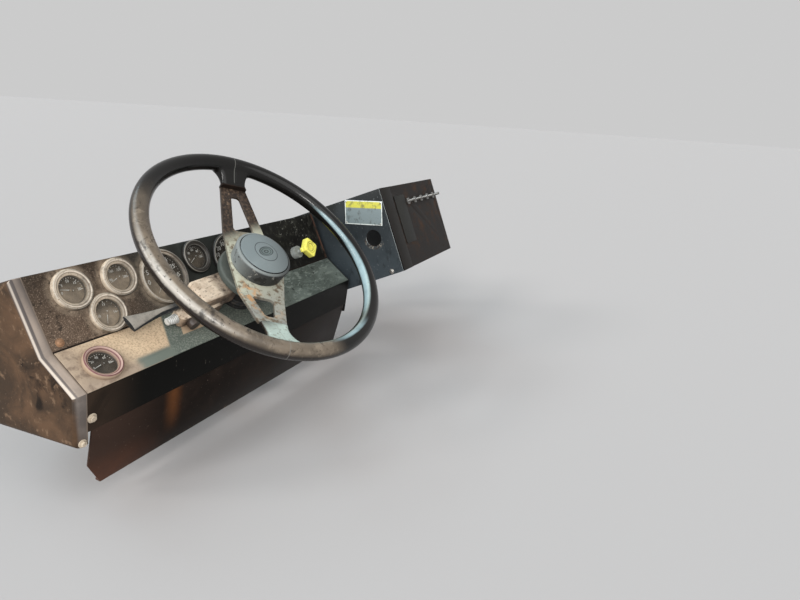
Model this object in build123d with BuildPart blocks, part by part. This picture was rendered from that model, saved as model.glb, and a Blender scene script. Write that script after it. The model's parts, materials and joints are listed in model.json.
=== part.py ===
from build123d import *
from math import cos, radians, sin
import os

os.makedirs("parts", exist_ok=True)

# Row frame: X to the right of the driver, Y forward, Z up, in millimetres.
# The origin is the centre of the four cowl bolts, on the face that meets the cowl.

# Cowl bolts
bolt_span_x = 600.0
bolt_span_z = 70.0
cowl_bolt_r = 5.5

# Outer section of the instrument panel, from its top edge
top_edge_y = -131.6
top_edge_z = 102.6
top_depth = 122.0
top_lean = -20.0
gauge_height = 108.5
gauge_lean = 64.6
ledge_depth = 73.4
ledge_lean = 36.0
band_height = 60.0
band_lean = 96.5
kick_height = 110.0
kick_lean = 105.0
kick_hem = 10.0
kick_hem_lean = 184.0
skin = 3.0
lip_round = 5.0

# Windscreen outlets in the top cover
vent_count = 5
vent_length = 96.0
vent_width = 9.0
vent_pitch = 128.0
vent_back = 62.0

# Ends of the driver's panel
left_seam_x = -341.0
left_end_x = -361.0
right_end_x = 345.0
end_round = 9.0
cap_band_height = 79.0
cap_floor_lean = -4.0
end_plate = 3.0
kick_side_gap = 6.0
kick_corner_x = 25.0
kick_corner_z = 45.0

# Steering wheel and column
wheel_y = -270.0
wheel_z = 100.0
column_rake = 38.1
column_cant = 3.55
rim_radius = 214.05
rim_tube = 14.55
web_neck_width = 51.0
web_neck_thickness = 15.0
web_neck_drop = 22.0
web_round = 6.0
hub_plate_drop = 40.0
plate_thickness = 5.0
hub_plate_width = 84.0
hub_bend_radius = 75.0
plate_edge = 1.5
leg_foot_width = 21.0
leg_head_width = 17.0
window_foot = 4.0
window_head = 18.0
window_round = 7.0
horn_base_radius = 49.0
horn_shoulder_radius = 51.0
horn_top_radius = 44.6
horn_top_drop = 3.0
horn_dome = 6.0
horn_cap_thickness = 14.0
horn_edge = 7.0
horn_foot = 4.0
horn_groove = 1.4
emblem_length = 32.0
emblem_width = 20.0
emblem_depth = 1.2
hub_radius = 30.0
hub_end_radius = 26.0
hub_length = 9.0
running_gap = 5.0
shaft_radius = 11.0
bearing_gap = 0.05
shaft_end = 425.0
spline_radius = 9.5
spline_length = 40.0
spline_chamfer = 1.5
jacket_radius = 25.4
jacket_wall = 2.5
jacket_end = 380.0
bearing_length = 14.0
fit_gap = 0.2
flange_radius = 52.0
flange_thickness = 6.0
flange_bolt_circle = 84.0
flange_bolt_r = 4.5
boot_radius = 29.4
boot_drop = 112.0
boot_length = 50.0
boot_fold = 6.0
boot_fold_depth = 2.4
collar_radius = 60.0
collar_length = 14.0
collar_round = 4.0

# Spokes: angle from the wheel's x axis, distance of the web's neck from the wheel's axis
SPOKES = [
    (65.5, 172.0),
    (-126.5, 148.0),
]

# Webs of the rim, outside the neck: distance inside the rim's centre line, width, thickness
WEB_SECTIONS = [
    (24.0, 54.0, 17.0),
    (15.0, 66.0, 20.0),
    (7.0, 92.0, 22.0),
]

# Signal switch on the column: sideways places are measured from the column's axis
switch_gap = 0.3
switch_tall = 35.0
switch_near = 30.0
switch_reach = 118.0
switch_low = -15.0
switch_high = 30.0
switch_round = 7.0
lobe_reach = 155.0
lobe_near = 60.0
lobe_low = -19.0
lobe_high = 7.0
lobe_drop = 98.0
lobe_tall = 22.0
switch_edge = 4.0
rib_count = 8
rib_pitch = 4.6
rib_groove = 1.6
rib_depth = 1.0
rib_inset = 5.0
lens_radius = 9.0
lens_length = 18.0
lens_sides = 8
lens_taper = 8.0
knob_radius = 10.0
knob_length = 13.0
knob_inset = 21.0
knob_edge = 2.5
lever_radius = 6.0
lever_length = 67.0
lever_up = 5.0
paddle_length = 58.0
paddle_width = 19.0
paddle_end_width = 29.0
paddle_thick = 9.0

# Frame behind the panel
bracket_plate = 3.0
bracket_foot_z = -95.0
bracket_hole_y = -70.0
bracket_hole_z = 20.0
bracket_hole_r = 26.0
flange_width = 44.0
flange_top_z = 49.0
rail_size = 25.0
rail_wall = 3.0
rail_drop = 207.0
rail_offset = 41.0
saddle_wall = 6.0
cowl_rail_height = 40.0
cowl_rail_depth = 24.0
cowl_rail_top_z = 49.0

# Park brake valve
valve_x = 234.0
valve_up = 33.0
valve_body_side = 48.0
valve_body_round = 6.0
valve_body_depth = 52.0
valve_port_radius = 8.0
valve_port_length = 9.0
valve_port_pitch = 21.0
valve_collar_radius = 13.0
valve_collar_length = 12.0
valve_stem_radius = 4.5
valve_stem_length = 34.0
valve_knob_side = 33.0
valve_knob_round = 6.0
valve_knob_edge = 2.5
valve_knob_thick = 13.0
valve_knob_turn = 45.0
valve_dish_radius = 8.5
valve_dish_depth = 1.5

# Centre section: its face leans like the gauge panel and stands nearer the driver
centre_x = 360.0
centre_width = 300.0
face_top_y = -296.2
face_top_z = 177.5
face_height = 190.0
face_lean = 67.4
centre_top_lean = -22.6
centre_top_depth = 308.0
centre_floor_lean = 154.0
centre_floor_length = 188.0
centre_bolt_inset = 22.0
centre_bolt_span_z = 80.0
centre_flange_drop = 12.0
centre_hole_back = 150.0
side_hole_room = 19.0
spacer_radius = 9.0
spacer_inset = 60.0
spacer_z = 20.0
spacer_pitch = 80.0
side_hole_y = -290.0
side_hole_z = 65.0
side_hole_r = 19.0
trim_width = 46.0
trim_thick = 2.0
plate_width = 52.0
plate_height = 112.0
plate_gap = 8.0
plate_top_gap = 24.0
plate_corner = 4.0
switch_row_drop = 42.0
switch_hole_r = 6.2
toggle_radius = 3.2
toggle_length = 17.0
toggle_nut = 8.5
toggle_nut_thick = 3.0
toggle_body = 24.0
toggle_body_width = 17.0
toggle_body_height = 25.5
toggle_count = 5

# Gauges: name, face that holds it, x, height above that face's bottom edge, bezel radius, land
GAUGES = [
    ("gauge_1", "panel", -281.9, 75.9, 30.0, 9.2),
    ("gauge_2", "panel", -202.6, 76.9, 30.0, 9.2),
    ("gauge_3", "panel", -242.5, 30.2, 30.0, 9.2),
    ("gauge_4", "panel", -121.3, 58.9, 46.6, 6.4),
    ("gauge_5", "panel", -40.3, 77.8, 30.0, 9.2),
    ("gauge_6", "panel", 43.0, 60.0, 46.6, 6.4),
    ("ledge_gauge", "ledge", -294.2, 33.0, 28.0, 7.8),
]
bezel_height = 7.5
bezel_side = 3.2
bezel_crest = 3.4
bezel_step = 4.4
bezel_lip = 1.2
case_inset = 4.0
case_depth = 44.0
case_round = 4.0
dial_depth = 2.5
glass_thick = 1.5
glass_rise = 2.5
glass_gap = 0.1
stud_radius = 2.4
stud_length = 13.0
stud_pitch = 20.0
boss_radius = 6.5
boss_length = 5.0
hole_gap = 0.3


def up_dir(lean):
    """Direction that climbs a surface leaning by so many degrees from level."""
    return Vector(0, cos(radians(lean)), sin(radians(lean)))


def out_dir(lean):
    """Outward normal of the same surface."""
    return Vector(0, -sin(radians(lean)), cos(radians(lean)))


def lean_plane(point, lean):
    """Plane on a leaning surface: its x is the row's X and its y climbs the surface."""
    return Plane(origin=point, x_dir=(1, 0, 0), z_dir=out_dir(lean))


def turned(plane, angle):
    """The same plane turned about its own normal by so many degrees."""
    across = plane.x_dir * cos(radians(angle)) + plane.y_dir * sin(radians(angle))
    return Plane(origin=plane.origin, x_dir=across, z_dir=plane.z_dir)


def outline(start, runs):
    """Corners of a section in Y and Z, each run going down its own surface."""
    points = [start]
    for length, lean in runs:
        points.append(points[-1] - up_dir(lean) * length)
    return points


def inner_corner(points, runs, index, depth):
    """Corner of the same section's inner side, mitred between two runs."""
    before = out_dir(runs[max(index - 1, 0)][1])
    after = out_dir(runs[min(index, len(runs) - 1)][1])
    return points[index] - (before + after) * (depth / (1 + before.dot(after)))


def flat(points):
    """Y and Z of each point, for a sketch on the YZ plane."""
    return [(point.Y, point.Z) for point in points]


def band_section(points, runs, first, last, depth):
    """Closed outline of one sheet of the section, from corner first to corner last."""
    outer = points[first : last + 1]
    inner = [inner_corner(points, runs, i, depth) for i in range(first, last + 1)]
    return flat(outer + inner[::-1])


def save(piece, name):
    """Label a finished piece and write it to its own file."""
    piece.label = name
    export_step(piece, "parts/" + name + ".step")


# Corners of the driver's panel: rear edge, top edge, crease, lip, band foot, kick foot, hem
top_edge = Vector(0, top_edge_y, top_edge_z)
rear_edge = top_edge + up_dir(top_lean) * top_depth
runs = [
    (top_depth, top_lean),
    (gauge_height, gauge_lean),
    (ledge_depth, ledge_lean),
    (band_height, band_lean),
    (kick_height, kick_lean),
    (kick_hem, kick_hem_lean),
]
corners = outline(rear_edge, runs)
REAR, TOP, CREASE, LIP, FOOT, KICK, HEM = range(7)
panel_width = right_end_x - left_seam_x
panel_middle = (left_seam_x + right_end_x) / 2

top_plane = lean_plane(corners[TOP], top_lean)
gauge_plane = lean_plane(corners[CREASE], gauge_lean)
ledge_plane = lean_plane(corners[LIP], ledge_lean)
kick_plane = lean_plane(corners[KICK], kick_lean)

# Column frame: z climbs the column towards the driver, x runs across the wheel
rake_out = out_dir(column_rake)
column_out = Vector(
    -sin(radians(column_cant)),
    rake_out.Y * cos(radians(column_cant)),
    rake_out.Z * cos(radians(column_cant)),
)
column_across = Vector(
    cos(radians(column_cant)),
    rake_out.Y * sin(radians(column_cant)),
    rake_out.Z * sin(radians(column_cant)),
)
wheel_centre = Vector(0, wheel_y, wheel_z)
wheel_plane = Plane(origin=wheel_centre, x_dir=column_across, z_dir=column_out)
rake_plane = Plane(origin=wheel_centre, x_dir=(1, 0, 0), z_dir=rake_out)
column_axis = Axis(wheel_centre, column_out)

# Section through the column: x away from its axis, y up it
column_section = Plane(origin=wheel_centre, x_dir=column_across, z_dir=-wheel_plane.y_dir)

# Places along the column, measured down from the plane of the rim
hub_face = hub_plate_drop + plate_thickness
hub_foot = hub_face + hub_length
jacket_top = hub_foot + running_gap
switch_drop = jacket_top + collar_length + switch_gap

# Brackets stand beside their cowl bolts
bracket_x = (bolt_span_x + flange_width) / 2

# Top cover with a row of windscreen outlets
with BuildPart() as top_cover:
    with BuildSketch(Plane.YZ.offset(left_seam_x)):
        with BuildLine():
            Polyline(*band_section(corners, runs, REAR, TOP, skin), close=True)
        make_face()
    extrude(amount=panel_width)
    with BuildSketch(top_plane):
        with Locations((panel_middle, vent_back)):
            with GridLocations(vent_pitch, 1, vent_count, 1):
                SlotOverall(vent_length, vent_width)
    extrude(amount=-2 * skin, mode=Mode.SUBTRACT)
save(top_cover.part, "top_cover")

# Gauge panel: a flat plate with a hole for each gauge, for the valve and for the boot
with BuildPart() as gauge_panel:
    with BuildSketch(Plane.YZ.offset(left_seam_x)):
        with BuildLine():
            Polyline(*band_section(corners, runs, TOP, CREASE, skin), close=True)
        make_face()
    extrude(amount=panel_width)
    with BuildSketch(gauge_plane):
        for name, face, x, up, radius, land in GAUGES:
            if face == "panel":
                with Locations((x, up)):
                    Circle(radius - case_inset + hole_gap)
        with Locations((valve_x, valve_up)):
            Circle(valve_collar_radius + hole_gap)
    extrude(amount=-2 * skin, mode=Mode.SUBTRACT)
    with BuildSketch(wheel_plane.offset(-boot_drop)):
        Circle(boot_radius + hole_gap)
    extrude(amount=-boot_length, mode=Mode.SUBTRACT)
save(gauge_panel.part, "gauge_panel")

# Sloping ledge and front band, one sheet folded round at the lip
with BuildPart() as dash_lip:
    with BuildSketch(Plane.YZ.offset(left_seam_x)):
        with BuildLine():
            Polyline(*band_section(corners, runs, CREASE, FOOT, skin), close=True)
        make_face()
    extrude(amount=panel_width)
    folds = dash_lip.edges().filter_by(Axis.X)
    lip_middle = corners[LIP] + Vector(panel_middle, 0, 0)
    fillet(folds.sort_by_distance(lip_middle)[0], lip_round)
    with BuildSketch(ledge_plane):
        for name, face, x, up, radius, land in GAUGES:
            if face == "ledge":
                with Locations((x, up)):
                    Circle(radius - case_inset + hole_gap)
    extrude(amount=-2 * skin, mode=Mode.SUBTRACT)
    with BuildSketch(wheel_plane.offset(-boot_drop)):
        Circle(boot_radius + hole_gap)
    extrude(amount=-boot_length, mode=Mode.SUBTRACT)
save(dash_lip.part, "dash_lip")

# Kick panel below the band: a hem along its foot and its outer lower corner cut off
kick_left = left_seam_x + kick_side_gap
with BuildPart() as kick_panel:
    with BuildSketch(Plane.YZ.offset(kick_left)):
        with BuildLine():
            Polyline(*band_section(corners, runs, FOOT, HEM, skin), close=True)
        make_face()
    extrude(amount=panel_width - 2 * kick_side_gap)
    with BuildSketch(kick_plane.offset(skin)):
        with BuildLine():
            Polyline(
                (kick_left - skin, kick_corner_z),
                (kick_left, kick_corner_z),
                (kick_left + kick_corner_x, 0),
                (kick_left + kick_corner_x, -kick_hem),
                (kick_left - skin, -kick_hem),
                close=True,
            )
        make_face()
    extrude(amount=-2 * skin - kick_hem, mode=Mode.SUBTRACT)
save(kick_panel.part, "kick_panel")

# Left end cap: a rounded cover over the panel's outer end, open on its inner side
cap_runs = runs[:LIP] + [(cap_band_height, band_lean)]
cap_corners = outline(rear_edge, cap_runs)
cap_foot = cap_corners[-1]
cap_floor = cap_foot + up_dir(cap_floor_lean) * (rear_edge.Y - cap_foot.Y)
with BuildPart() as end_cap_left:
    with BuildSketch(Plane.YZ.offset(left_seam_x)):
        with BuildLine():
            Polyline(*flat(cap_corners + [cap_floor]), close=True)
        make_face()
    extrude(amount=left_end_x - left_seam_x)
    outer_face = end_cap_left.faces().sort_by(Axis.X)[0]
    fillet(outer_face.edges(), end_round)
    open_face = end_cap_left.faces().sort_by(Axis.X)[-1]
    offset(amount=-skin, openings=open_face)
save(end_cap_left.part, "end_cap_left")

# Right end plate of the driver's panel
with BuildPart() as end_plate_right:
    with BuildSketch(Plane.YZ.offset(right_end_x)):
        with BuildLine():
            Polyline(*flat(cap_corners + [cap_floor]), close=True)
        make_face()
    extrude(amount=end_plate)
save(end_plate_right.part, "end_plate_right")

# Side brackets: a web that follows the inside of the sheets, and a bolted flange
web_corners = [inner_corner(corners, runs, i, skin) for i in (REAR, TOP, CREASE, LIP, FOOT)]
web_corners.append(Vector(0, 0, bracket_foot_z))
web_corners.append(Vector(0, 0, flange_top_z))
flange_height = flange_top_z - bracket_foot_z
flange_middle_z = (flange_top_z + bracket_foot_z) / 2
for name, side in (("bracket_left", -1), ("bracket_right", 1)):
    with BuildPart() as bracket:
        with BuildSketch(Plane.YZ.offset(side * bracket_x)):
            with BuildLine():
                Polyline(*flat(web_corners), close=True)
            make_face()
            with Locations((bracket_hole_y, bracket_hole_z)):
                Circle(bracket_hole_r, mode=Mode.SUBTRACT)
        extrude(amount=side * bracket_plate)
        with BuildSketch(Plane.XZ):
            with Locations((side * (bracket_x - flange_width / 2), flange_middle_z)):
                Rectangle(flange_width, flange_height)
            with GridLocations(bolt_span_x, bolt_span_z, 2, 2):
                Circle(cowl_bolt_r, mode=Mode.SUBTRACT)
        extrude(amount=bracket_plate)
    save(bracket.part, name)

# Angle rail between the brackets, which carries the column
rail_section = Plane(
    origin=wheel_centre - Vector(bracket_x, 0, 0),
    x_dir=rake_plane.y_dir,
    z_dir=(1, 0, 0),
)
with BuildPart() as cross_rail:
    with BuildSketch(rail_section):
        with Locations((rail_offset, -rail_drop)):
            Rectangle(rail_size, rail_wall, align=(Align.MIN, Align.MAX))
            Rectangle(rail_wall, rail_size, align=(Align.MIN, Align.MAX))
    extrude(amount=2 * bracket_x)
save(cross_rail.part, "cross_rail")

# Hanger: a ring round the jacket and a neck up to the rail
with BuildPart() as column_hanger:
    with BuildSketch(wheel_plane.offset(-rail_drop)):
        Circle(jacket_radius + fit_gap + saddle_wall)
        with Locations((0, rail_offset / 2)):
            Rectangle(2 * jacket_radius, rail_offset)
        Circle(jacket_radius + fit_gap, mode=Mode.SUBTRACT)
    extrude(amount=-rail_size)
save(column_hanger.part, "column_hanger")

# Column jacket
with BuildPart() as column_jacket:
    with BuildSketch(wheel_plane.offset(-jacket_top)):
        Circle(jacket_radius)
        Circle(jacket_radius - jacket_wall, mode=Mode.SUBTRACT)
    extrude(amount=jacket_top - jacket_end)
save(column_jacket.part, "column_jacket")

# Bearings in the two ends of the jacket
bearing_radius = jacket_radius - jacket_wall - fit_gap
lower_seat = jacket_end - bearing_length
for name, start in (("upper_bearing", jacket_top), ("lower_bearing", lower_seat)):
    with BuildPart() as bearing:
        with BuildSketch(wheel_plane.offset(-start)):
            Circle(bearing_radius)
            Circle(shaft_radius + bearing_gap, mode=Mode.SUBTRACT)
        extrude(amount=-bearing_length)
    save(bearing.part, name)

# Foot flange of the column
with BuildPart() as column_flange:
    with BuildSketch(wheel_plane.offset(-jacket_end + flange_thickness)):
        Circle(flange_radius)
        Circle(jacket_radius + fit_gap, mode=Mode.SUBTRACT)
        with PolarLocations(flange_bolt_circle / 2, 4, start_angle=45):
            Circle(flange_bolt_r, mode=Mode.SUBTRACT)
    extrude(amount=-flange_thickness)
save(column_flange.part, "column_flange")

# Rubber boot where the column passes through the panel, with two folds above the sheet
boot_bore = jacket_radius + fit_gap
fold_inner = boot_radius - boot_fold_depth
fold_mids = [-boot_drop - boot_fold * i for i in (0.5, 1.5)]
with BuildPart() as column_boot:
    with BuildSketch(column_section):
        with BuildLine():
            Line((boot_bore, -boot_drop), (fold_inner, -boot_drop))
            ThreePointArc(
                (fold_inner, -boot_drop),
                (boot_radius, fold_mids[0]),
                (fold_inner, -boot_drop - boot_fold),
            )
            ThreePointArc(
                (fold_inner, -boot_drop - boot_fold),
                (boot_radius, fold_mids[1]),
                (fold_inner, -boot_drop - 2 * boot_fold),
            )
            Polyline(
                (fold_inner, -boot_drop - 2 * boot_fold),
                (boot_radius, -boot_drop - 2 * boot_fold),
                (boot_radius, -boot_drop - boot_length),
                (boot_bore, -boot_drop - boot_length),
                (boot_bore, -boot_drop),
            )
        make_face()
    revolve(axis=column_axis)
save(column_boot.part, "column_boot")

# Steering wheel rim, with the two webs that flare out of it and take the spokes
with BuildPart() as wheel_rim:
    for angle, neck_reach in SPOKES:
        spoke_plane = turned(wheel_plane, angle)
        web_run = rim_radius - neck_reach
        for inside, width, thickness in [(web_run, web_neck_width, web_neck_thickness)] + WEB_SECTIONS:
            drop = web_neck_drop * inside / web_run
            middle = spoke_plane.from_local_coords((rim_radius - inside, 0, -drop))
            with BuildSketch(Plane(origin=middle, x_dir=spoke_plane.y_dir, z_dir=spoke_plane.x_dir)):
                RectangleRounded(width, thickness, web_round)
        loft()
    with BuildSketch(column_section):
        with Locations((rim_radius, 0)):
            Circle(rim_tube)
    revolve(axis=column_axis)
save(wheel_rim.part, "wheel_rim")

# Spoke frame: a hub plate with two forked legs that climb to the webs
leg_rise = hub_plate_drop - web_neck_drop
plate_half = hub_plate_width / 2
neck_half = web_neck_width / 2
with BuildPart() as spoke_frame:
    with BuildSketch(wheel_plane.offset(-hub_face)):
        Circle(horn_shoulder_radius + plate_edge)
        with BuildLine():
            for angle, neck_reach in SPOKES:
                bend = turned(Plane.XY, angle)
                Line(
                    bend.from_local_coords((hub_bend_radius, plate_half)),
                    bend.from_local_coords((hub_bend_radius, -plate_half)),
                )
        make_hull()
    extrude(amount=plate_thickness)
    for angle, neck_reach in SPOKES:
        spoke_plane = turned(wheel_plane, angle)
        leg_run = neck_reach - hub_bend_radius
        leg_length = (leg_run**2 + leg_rise**2) ** 0.5
        climb = (spoke_plane.x_dir * leg_run + spoke_plane.z_dir * leg_rise).normalized()
        bend = spoke_plane.from_local_coords((hub_bend_radius, 0, -hub_face))
        leg_plane = Plane(origin=bend, x_dir=climb, z_dir=climb.cross(spoke_plane.y_dir))
        with BuildSketch(leg_plane):
            with BuildLine():
                Polyline(
                    (0, plate_half),
                    (leg_length, neck_half),
                    (leg_length, -neck_half),
                    (0, -plate_half),
                    close=True,
                )
            make_face()
            with BuildLine():
                FilletPolyline(
                    (window_foot, plate_half - leg_foot_width),
                    (leg_length - window_head, neck_half - leg_head_width),
                    (leg_length - window_head, leg_head_width - neck_half),
                    (window_foot, leg_foot_width - plate_half),
                    radius=window_round,
                    close=True,
                )
            make_face(mode=Mode.SUBTRACT)
        extrude(amount=plate_thickness)
    with BuildSketch(wheel_plane.offset(-hub_plate_drop)):
        Circle(shaft_radius + fit_gap)
    extrude(amount=-plate_thickness, mode=Mode.SUBTRACT)
save(spoke_frame.part, "spoke_frame")

# Hub boss under the plate
with BuildPart() as wheel_hub:
    with BuildSketch(column_section):
        with BuildLine():
            Polyline(
                (shaft_radius + fit_gap, -hub_face),
                (hub_radius, -hub_face),
                (hub_end_radius, -hub_foot),
                (shaft_radius + fit_gap, -hub_foot),
                close=True,
            )
        make_face()
    revolve(axis=column_axis)
save(wheel_hub.part, "wheel_hub")

# Steering shaft, turned down to its splined end
spline_start = shaft_end - spline_length
with BuildPart() as steering_shaft:
    with BuildSketch(column_section):
        with BuildLine():
            Polyline(
                (0, -hub_plate_drop),
                (shaft_radius, -hub_plate_drop),
                (shaft_radius, -spline_start),
                (spline_radius, -spline_start),
                (spline_radius, -shaft_end),
                (spline_radius - spline_chamfer, -shaft_end - spline_chamfer),
                (0, -shaft_end - spline_chamfer),
                close=True,
            )
        make_face()
    revolve(axis=column_axis)
save(steering_shaft.part, "steering_shaft")

# Horn pad: a squat drum with a round shoulder, and a shallow domed cap in a groove
cap_edge = horn_top_drop + horn_edge
horn_seat = horn_top_drop + horn_cap_thickness
shoulder_inner = horn_top_radius + horn_groove
shoulder_round = horn_shoulder_radius - shoulder_inner
with BuildPart() as horn_base:
    with BuildSketch(column_section):
        with BuildLine():
            Polyline(
                (shoulder_inner, -cap_edge),
                (shoulder_inner, -horn_seat),
                (0, -horn_seat),
                (0, -hub_plate_drop),
                (horn_base_radius, -hub_plate_drop),
                (horn_base_radius, -hub_plate_drop + horn_foot),
                (horn_shoulder_radius, -cap_edge - shoulder_round),
            )
            RadiusArc(
                (horn_shoulder_radius, -cap_edge - shoulder_round),
                (shoulder_inner, -cap_edge),
                -shoulder_round,
            )
        make_face()
    revolve(axis=column_axis)
save(horn_base.part, "horn_base")

dome_radius = (horn_top_radius**2 + horn_dome**2) / (2 * horn_dome)
with BuildPart() as horn_cap:
    with BuildSketch(column_section):
        with BuildLine():
            Polyline(
                (0, -horn_top_drop),
                (0, -horn_seat),
                (horn_top_radius, -horn_seat),
                (horn_top_radius, -horn_top_drop - horn_dome),
            )
            RadiusArc(
                (horn_top_radius, -horn_top_drop - horn_dome),
                (0, -horn_top_drop),
                -dome_radius,
            )
        make_face()
    revolve(axis=column_axis)
    with BuildSketch(wheel_plane.offset(-horn_top_drop - emblem_depth)):
        Ellipse(emblem_length / 2, emblem_width / 2)
    extrude(amount=2 * emblem_depth, mode=Mode.SUBTRACT)
save(horn_cap.part, "horn_cap")

# Collar that clamps the signal switch to the jacket
with BuildPart() as switch_collar:
    with BuildSketch(wheel_plane.offset(-jacket_top)):
        Circle(collar_radius)
        Circle(jacket_radius + fit_gap, mode=Mode.SUBTRACT)
    extrude(amount=-collar_length)
    rings = switch_collar.edges().filter_by(GeomType.CIRCLE)
    fillet(rings.group_by(SortBy.RADIUS)[-1], collar_round)
save(switch_collar.part, "switch_collar")

# Signal switch: a ribbed housing beside the collar, with a lobe below it
switch_width = switch_reach - switch_near
switch_height = switch_high - switch_low
with BuildPart() as signal_housing:
    with BuildSketch(wheel_plane.offset(-switch_drop)):
        with Locations((-switch_near, switch_low)):
            RectangleRounded(switch_width, switch_height, switch_round, align=(Align.MAX, Align.MIN))
    extrude(amount=-switch_tall)
    top_face = signal_housing.faces().sort_by(column_axis)[-1]
    fillet(top_face.edges(), switch_edge)
    with BuildSketch(wheel_plane.offset(-switch_drop)):
        with Locations((-switch_near - switch_width / 2, switch_low + switch_height / 2)):
            with GridLocations(1, rib_pitch, 1, rib_count):
                SlotOverall(switch_width - 2 * (switch_edge + rib_inset), rib_groove)
    extrude(amount=-rib_depth, mode=Mode.SUBTRACT)
    with BuildSketch(wheel_plane.offset(-lobe_drop)):
        with Locations((-lobe_near, lobe_low)):
            RectangleRounded(
                lobe_reach - lobe_near,
                lobe_high - lobe_low,
                switch_round,
                align=(Align.MAX, Align.MIN),
            )
    extrude(amount=-lobe_tall)
save(signal_housing.part, "signal_housing")

# Lever with a flat paddle, out of the end of the housing
lever_drop = switch_drop + switch_tall / 2
lever_root = wheel_plane.from_local_coords((-switch_reach, lever_up, -lever_drop))
lever_plane = Plane(origin=lever_root, x_dir=wheel_plane.y_dir, z_dir=-column_across)
with BuildPart() as signal_lever:
    with BuildSketch(lever_plane):
        Circle(lever_radius)
    extrude(amount=lever_length)
    with BuildSketch(lever_plane.offset(lever_length)):
        Circle(lever_radius)
    with BuildSketch(lever_plane.offset(lever_length + paddle_length / 2)):
        Ellipse(paddle_width / 2, paddle_thick / 2)
    with BuildSketch(lever_plane.offset(lever_length + paddle_length)):
        Ellipse(paddle_end_width / 2, paddle_thick / 2)
    loft()
save(signal_lever.part, "signal_lever")

# Faceted lens on the lobe's end, and the hazard pull knob under it
lobe_middle = lobe_drop + lobe_tall / 2
lens_root = wheel_plane.from_local_coords((-lobe_reach, (lobe_low + lobe_high) / 2, -lobe_middle))
with BuildPart() as signal_lens:
    with BuildSketch(Plane(origin=lens_root, x_dir=wheel_plane.y_dir, z_dir=-column_across)):
        RegularPolygon(lens_radius, lens_sides)
    extrude(amount=lens_length, taper=lens_taper)
save(signal_lens.part, "signal_lens")

knob_root = wheel_plane.from_local_coords((knob_inset - lobe_reach, lobe_low, -lobe_middle))
with BuildPart() as hazard_knob:
    with BuildSketch(Plane(origin=knob_root, x_dir=column_across, z_dir=-wheel_plane.y_dir)):
        Circle(knob_radius)
    extrude(amount=knob_length)
    knob_end = hazard_knob.faces().sort_by(Axis(knob_root, wheel_plane.y_dir))[0]
    fillet(knob_end.edges(), knob_edge)
save(hazard_knob.part, "hazard_knob")

# Park brake valve: body and ports behind the panel, collar and stem through it
valve_seat = gauge_plane.from_local_coords((valve_x, valve_up, 0))
valve_plane = Plane(origin=valve_seat, x_dir=gauge_plane.x_dir, z_dir=gauge_plane.z_dir)
with BuildPart() as valve_body:
    with BuildSketch(valve_plane.offset(-skin)):
        RectangleRounded(valve_body_side, valve_body_side, valve_body_round)
    extrude(amount=-valve_body_depth)
    with BuildSketch(valve_plane.offset(-skin - valve_body_depth)):
        with GridLocations(valve_port_pitch, 1, 2, 1):
            Circle(valve_port_radius)
    extrude(amount=-valve_port_length)
    with BuildSketch(valve_plane.offset(-skin)):
        Circle(valve_collar_radius)
    extrude(amount=skin + valve_collar_length)
    with BuildSketch(valve_plane.offset(valve_collar_length)):
        Circle(valve_stem_radius)
    extrude(amount=valve_stem_length - valve_collar_length)
save(valve_body.part, "valve_body")

# Its square knob stands on a corner and has a dished face
valve_face = valve_stem_length + valve_knob_thick
with BuildPart() as valve_knob:
    with BuildSketch(turned(valve_plane, valve_knob_turn).offset(valve_stem_length)):
        RectangleRounded(valve_knob_side, valve_knob_side, valve_knob_round)
    extrude(amount=valve_knob_thick)
    front_face = valve_knob.faces().sort_by(Axis(valve_seat, valve_plane.z_dir))[-1]
    fillet(front_face.edges(), valve_knob_edge)
    with BuildSketch(valve_plane.offset(valve_face - valve_dish_depth)):
        Circle(valve_dish_radius)
    extrude(amount=valve_dish_depth, mode=Mode.SUBTRACT)
save(valve_knob.part, "valve_knob")

# Gauges: a domed bezel on its face, a case with a boss and two studs behind it, a flat glass
faces = {"panel": gauge_plane, "ledge": ledge_plane}
glasses = []
for name, face, x, up, radius, land in GAUGES:
    seat = Plane(
        origin=faces[face].from_local_coords((x, up, 0)),
        x_dir=faces[face].x_dir,
        z_dir=faces[face].z_dir,
    )
    section = Plane(origin=seat.origin, x_dir=seat.x_dir, z_dir=-seat.y_dir)
    turn = Axis(seat.origin, seat.z_dir)
    window = radius - land
    body_radius = radius - case_inset
    with BuildPart() as bezel:
        with BuildSketch(section):
            with BuildLine():
                Polyline((window, bezel_step), (window, 0), (radius, 0), (radius, bezel_side))
                ThreePointArc(
                    (radius, bezel_side),
                    (radius - bezel_crest / 3, bezel_height - bezel_crest / 3),
                    (radius - bezel_crest, bezel_height),
                )
                Polyline(
                    (radius - bezel_crest, bezel_height),
                    (window + bezel_lip, bezel_step),
                    (window, bezel_step),
                )
            make_face()
        revolve(axis=turn)
    save(bezel.part, name + "_bezel")
    with BuildPart() as case:
        with BuildSketch(section):
            with BuildLine():
                Polyline(
                    (0, -dial_depth),
                    (window, -dial_depth),
                    (window, 0),
                    (body_radius, 0),
                    (body_radius, -case_depth + case_round),
                    (body_radius - case_round, -case_depth),
                    (0, -case_depth),
                    close=True,
                )
            make_face()
        revolve(axis=turn)
        with BuildSketch(seat.offset(-case_depth)):
            Circle(boss_radius)
        extrude(amount=-boss_length)
        with BuildSketch(seat.offset(-case_depth)):
            with GridLocations(stud_pitch, 1, 2, 1):
                Circle(stud_radius)
        extrude(amount=-stud_length)
    save(case.part, name + "_case")
    with BuildPart() as glass:
        with BuildSketch(seat.offset(glass_rise)):
            Circle(window - glass_gap)
        extrude(amount=glass_thick)
    glasses.append(glass.part.solid())
save(Compound(children=glasses), "gauge_glasses")

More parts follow.
